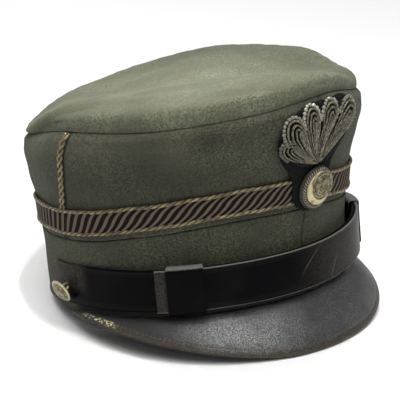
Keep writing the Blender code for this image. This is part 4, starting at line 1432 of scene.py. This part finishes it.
class KEPI_OT_strap(Operator):
    """Both halves of the chin strap, with a pressed line along each edge"""

    bl_idname = "kepi.strap"
    bl_label = "Chin strap"

    def execute(self, context):
        strap = context.scene.kepi_strap
        finish = smooth_leather("strap leather", strap, 0.8)
        halves = (
            ("strap_under", "strap_from_right", 1, under_strap_out),
            ("strap_over", "strap_from_left", -1, over_strap_out),
        )
        for name, node, button_side, strap_out in halves:
            rounded = strap.button_end - strap.rounding * np.linspace(1, 0, 16) ** 2
            straight = np.linspace(-strap.free_end, strap.button_end - strap.rounding, 520)
            angle = np.concatenate([straight[:-1], rounded])
            turned = angle[None] * button_side
            rounding = np.clip(1 - (strap.button_end - angle) / strap.rounding, 0, 1)
            half = strap.width / 2 * np.sqrt(1 - 0.85 * rounding**2)
            settle = smooth(angle - strap.free_end - strap.settle_start, 0, strap.settle_over)
            away = strap_out(turned) * (1 - settle) + LAYER_GAP * settle
            section = strip_section(strap.leather, 0, 0.75 * MM, 44, 8, 4)
            across = (section.share * 2 - 1) * half + section.shift
            from_edge = half - abs(across)
            pressed = bump(from_edge, 1.8 * MM, 0.3 * MM) + 0.7 * bump(from_edge, 3.2 * MM, 0.3 * MM)
            wave = ripples(71 + button_side, around(turned) + 0 * across, across, 40 * MM) * 0.12 * MM
            crease = 0 * across + 0 * turned
            if button_side < 0:
                for line in CREASES:
                    drift = around(turned - line.angle) + CREASE_LEAN * across + CREASE_CURVE * across**2
                    beside = bump(across, line.middle * strap.width / 2, line.size)
                    crease = crease + bump(drift, 0, 0.30 * MM) * beside
            relief = (wave - 0.28 * MM * pressed - 0.2 * MM * crease) * section.face
            points = wall(turned, strap_middle(turned) + across, away + section.out + relief)
            # Edges lighter as wear and as a painted highlight, less on the under layer.
            edge = bump(from_edge, 0, 0.8 * MM) * (0.25 if button_side > 0 else 1.0) + 0 * turned
            # Dust at the free end and on the pressed lines; painted sheen by the buttons and on the outer
            # layer round the wearer's left front.
            tail = 1.0 * smooth(turned * button_side, -56.0, -57.5) + 0 * across
            button_sheen = 0.9 * smooth(turned * button_side, 86, 91) * smooth(across, -6 * MM, 1 * MM)
            front_sheen = (0.0 if button_side > 0 else 0.8) * smooth(turned, 14, -14) + 0 * across
            dust = np.maximum(tail, button_sheen)
            dust = np.maximum(dust, front_sheen)
            dust = np.maximum(dust, 0.3 * np.clip(pressed, 0, 1))
            marks = {"edge": edge, "crease": crease, "dust": dust}
            part = grid_part(points, wrap_rows=True, caps=True, **marks)
            add_piece(name, [part], finish, "strap_leather", node)
        return {"FINISHED"}


class KEPI_OT_keepers(Operator):
    """Loops of leather round both layers of the strap"""

    bl_idname = "kepi.keepers"
    bl_label = "Keepers"

    def execute(self, context):
        strap = context.scene.kepi_strap
        finish = smooth_leather("keeper leather", strap, 0.9)
        across = strip_section(strap.keeper_leather, 0, 0.5 * MM, 30, 6, 4)
        corner = 0.9 * MM
        half = strap.width / 2 + LAYER_GAP
        start, end = strap.keeper_from, strap.keeper_to
        from_front = start + (end - start) * across.share + np.degrees(across.shift / SIDE_RADIUS)
        for word, keeper_side in BOTH_SIDES:
            angle = keeper_side * from_front
            inner = under_strap_out(angle) - LAYER_GAP
            thick = over_strap_out(angle) + strap.leather + LAYER_GAP - inner
            loop_up, loop_out, normal_up, normal_out = rounded_loop(half, thick[0, 0], corner)
            up = loop_up + normal_up * across.out
            out = inner + loop_out * thick + normal_out * across.out
            points = wall(angle, strap_middle(angle) + up, out)
            # The top edge and the cut edges lighter as wear and as a painted highlight.
            edge = bump(half + strap.keeper_leather - up, 0, 1.6 * MM) + (1 - across.face) * 0.5
            part = grid_part(points, True, True, edge=edge, crease=0.0, dust=0.0)
            add_piece(f"keeper_loop_{word}", [part], finish, "strap_leather", f"keeper_{word}")
        return {"FINISHED"}


def rounded_loop(half, thickness, corner):
    """Once round a box of half height and thickness, with rounded corners and straight runs between.

    It starts pointing up at the outer top corner and turns over the outer face. Given are the way up,
    the way out as a share of the thickness, and both parts of the normal.
    """
    quarter = np.linspace(0, pi / 2, 7)
    between = np.linspace(0, 1, 25)[1:-1, None]
    corners = []
    for number, (high, outer) in enumerate(((1, 1), (-1, 1), (-1, 0), (1, 0))):
        turn = quarter + number * pi / 2
        up = high * (half - corner) + corner * np.cos(turn)
        out = outer * thickness + (-corner if outer else corner) + corner * np.sin(turn)
        corners.append(np.stack([up, out, np.cos(turn), np.sin(turn)], -1))
    loop = []
    for here, following in zip(corners, corners[1:] + corners[:1]):
        loop += [here, here[-1] + (following[0] - here[-1]) * between]
    up, out, normal_up, normal_out = np.concatenate(loop).T[:, None]
    return up, out / thickness, normal_up, normal_out

# The button from its underside round the rim to the middle: shares of its radius, rim and dome
ButtonRow = namedtuple("ButtonRow", "radius rim dome")
BUTTON_ROWS = (
    ButtonRow(0.10, 0.00, 0.00),
    ButtonRow(0.50, 0.00, 0.00),
    ButtonRow(0.86, 0.00, 0.00),
    ButtonRow(0.95, 0.10, 0.00),
    ButtonRow(1.00, 0.45, 0.00),
    ButtonRow(0.99, 0.90, 0.00),
    ButtonRow(0.93, 1.00, 0.15),
    ButtonRow(0.87, 1.00, 0.12),
    ButtonRow(0.82, 1.00, 0.20),
    ButtonRow(0.70, 1.00, 0.55),
    ButtonRow(0.50, 1.00, 0.80),
    ButtonRow(0.30, 1.00, 0.94),
    ButtonRow(0.10, 1.00, 1.00),
)


class KEPI_OT_buttons(Operator):
    """Domed buttons with a turned rim, each on a wire loop sewn to the band"""

    bl_idname = "kepi.buttons"
    bl_label = "Buttons"

    def execute(self, context):
        button = context.scene.kepi_button
        metal = Finish("button metal", roughness=0.35)
        worn = metal.between(metal.noise(2.0 * MM, 4, 0.7), 0.42, 0.6)
        face_tone = metal.mix(worn, scaled(button.metal_colour, 0.5), button.tarnish_colour)
        metal.feed("Base Color", metal.mix(metal.value("rim"), face_tone, button.metal_colour))
        metal.feed("Metallic", 0.9 - 0.4 * worn)
        metal.feed("Roughness", metal.between(metal.noise(1 * MM, 3), 0.3, 0.7, 0.25, 0.5))
        metal.raised(metal.noise(0.9 * MM, 3), 0.1 * MM)
        radius, rim, dome = np.array(BUTTON_ROWS).T[:, :, None]
        rise = button.shank + button.rim * rim + button.dome * dome
        turn = np.radians(all_round(56))[None]
        droop = radians(button.droop)
        for word, button_side in BOTH_SIDES:
            angle = button.angle * button_side
            seat = wall(angle, button.height, GAP + button.shank_radius * sin(droop))
            axis = outward(np.array(angle)) - np.array([0, 0, tan(droop)])
            axis /= np.linalg.norm(axis)
            level = np.cross(axis, [0, 0, 1])
            level /= np.linalg.norm(level)
            upright = np.cross(level, axis)
            ring = np.cos(turn)[..., None] * level + np.sin(turn)[..., None] * upright
            points = seat + (button.radius * radius)[..., None] * ring + rise[..., None] * axis
            bright = smooth(radius, 0.84, 0.9)
            turned = grid_part(points, wrap_columns=True, poles=("first", "last"), rim=bright)
            bend = np.linspace(0, pi, 30)
            loop_up = 2.1 * MM * np.cos(bend)
            loop_out = (button.shank + 0.4 * MM) * (1 - np.sin(bend)) + 0.5 * MM * np.sin(bend)
            path = seat + loop_up[:, None] * upright + loop_out[:, None] * axis
            wire = rope(path, np.broadcast_to(level, path.shape), button.wire, 1.0, 2, 0.0, 10)
            wire = (wire[0], wire[1], {"rim": wire[2]["strand"]})
            both = [turned, wire]
            add_piece(f"button_face_{word}", both, metal.material, "button_metal", f"button_{word}")
        return {"FINISHED"}


# Area lights: name, place, size in metres, power in watts and angle of the beam in degrees
Lamp = namedtuple("Lamp", "name place size power beam")
LAMPS = (
    Lamp("overhead", (-0.15, -0.35, 1.15), 1.2, 15, 180),
    Lamp("background", (0.2, 1.1, 1.6), 1.8, 22, 180),
    Lamp("top", (-0.12, -0.10, 0.9), 0.10, 0.13, 20),
)


class KEPI_OT_stage(Operator):
    """Pale floor, soft studio light and the camera"""

    bl_idname = "kepi.stage"
    bl_label = "Stage"

    def execute(self, context):
        stage = context.scene.kepi_stage
        bpy.ops.mesh.primitive_plane_add(size=12)
        floor = context.object
        floor.name = "floor"
        paper = Finish("pale paper", roughness=0.9)
        paper.shader.inputs["Base Color"].default_value = (0.93, 0.93, 0.93, 1)
        floor.data.materials.append(paper.material)
        for lamp in LAMPS:
            data = bpy.data.lights.new(lamp.name, "AREA")
            data.size = lamp.size
            data.energy = lamp.power
            data.spread = radians(lamp.beam)
            light = bpy.data.objects.new(lamp.name, data)
            light.location = lamp.place
            aim = Vector((0, 0, 0.15)) - light.location
            light.rotation_euler = aim.to_track_quat("-Z", "Y").to_euler()
            context.scene.collection.objects.link(light)
        world = bpy.data.worlds.new("soft room")
        world.use_nodes = True
        sky = world.node_tree.nodes["Background"]
        sky.inputs["Color"].default_value = (1, 1, 1, 1)
        sky.inputs["Strength"].default_value = 0.22
        context.scene.world = world
        context.scene.view_settings.view_transform = "Standard"

        azimuth, elevation = radians(stage.azimuth), radians(stage.elevation)
        back = Vector(
            (-np.sin(azimuth) * np.cos(elevation), -np.cos(azimuth) * np.cos(elevation), np.sin(elevation))
        )
        data = bpy.data.cameras.new("camera")
        data.lens = stage.lens
        data.sensor_width = 36
        data.shift_x = stage.shift_x
        data.shift_y = stage.shift_y
        camera = bpy.data.objects.new("camera", data)
        camera.location = Vector(OPENING) + Vector((0, 0, stage.focus_height)) + back * stage.distance
        camera.rotation_euler = (-back).to_track_quat("-Z", "Y").to_euler()
        context.scene.collection.objects.link(camera)
        context.scene.camera = camera
        return {"FINISHED"}


PIECES = (
    KEPI_OT_stage,
    KEPI_OT_band,
    KEPI_OT_crown_wall,
    KEPI_OT_crown_top,
    KEPI_OT_lace,
    KEPI_OT_side_cords,
    KEPI_OT_badge_felt,
    KEPI_OT_badge_fan,
    KEPI_OT_badge_boss,
    KEPI_OT_peak,
    KEPI_OT_strap,
    KEPI_OT_keepers,
    KEPI_OT_buttons,
)


class KEPI_PT_panel(Panel):
    """Lists the pieces of the kepi"""

    bl_idname = "KEPI_PT_panel"
    bl_label = "Kepi"
    bl_space_type = "VIEW_3D"
    bl_region_type = "UI"
    bl_category = "Kepi"

    def draw(self, context):
        for piece in PIECES:
            self.layout.operator(piece.bl_idname)


SETTINGS = {
    "kepi_cloth": KepiCloth,
    "kepi_trim": KepiTrim,
    "kepi_badge": KepiBadge,
    "kepi_peak": KepiPeak,
    "kepi_strap": KepiStrap,
    "kepi_button": KepiButton,
    "kepi_stage": KepiStage,
}


def register():
    for group in SETTINGS.values():
        bpy.utils.register_class(group)
    for name, group in SETTINGS.items():
        setattr(bpy.types.Scene, name, PointerProperty(type=group))
    for made in (*PIECES, KEPI_PT_panel):
        bpy.utils.register_class(made)


def unregister():
    for made in (KEPI_PT_panel, *reversed(PIECES)):
        bpy.utils.unregister_class(made)
    for name in SETTINGS:
        delattr(bpy.types.Scene, name)
    for group in SETTINGS.values():
        bpy.utils.unregister_class(group)


def main():
    register()
    for piece in PIECES:
        category, name = piece.bl_idname.split(".")
        getattr(getattr(bpy.ops, category), name)()


if __name__ == "__main__":
    main()
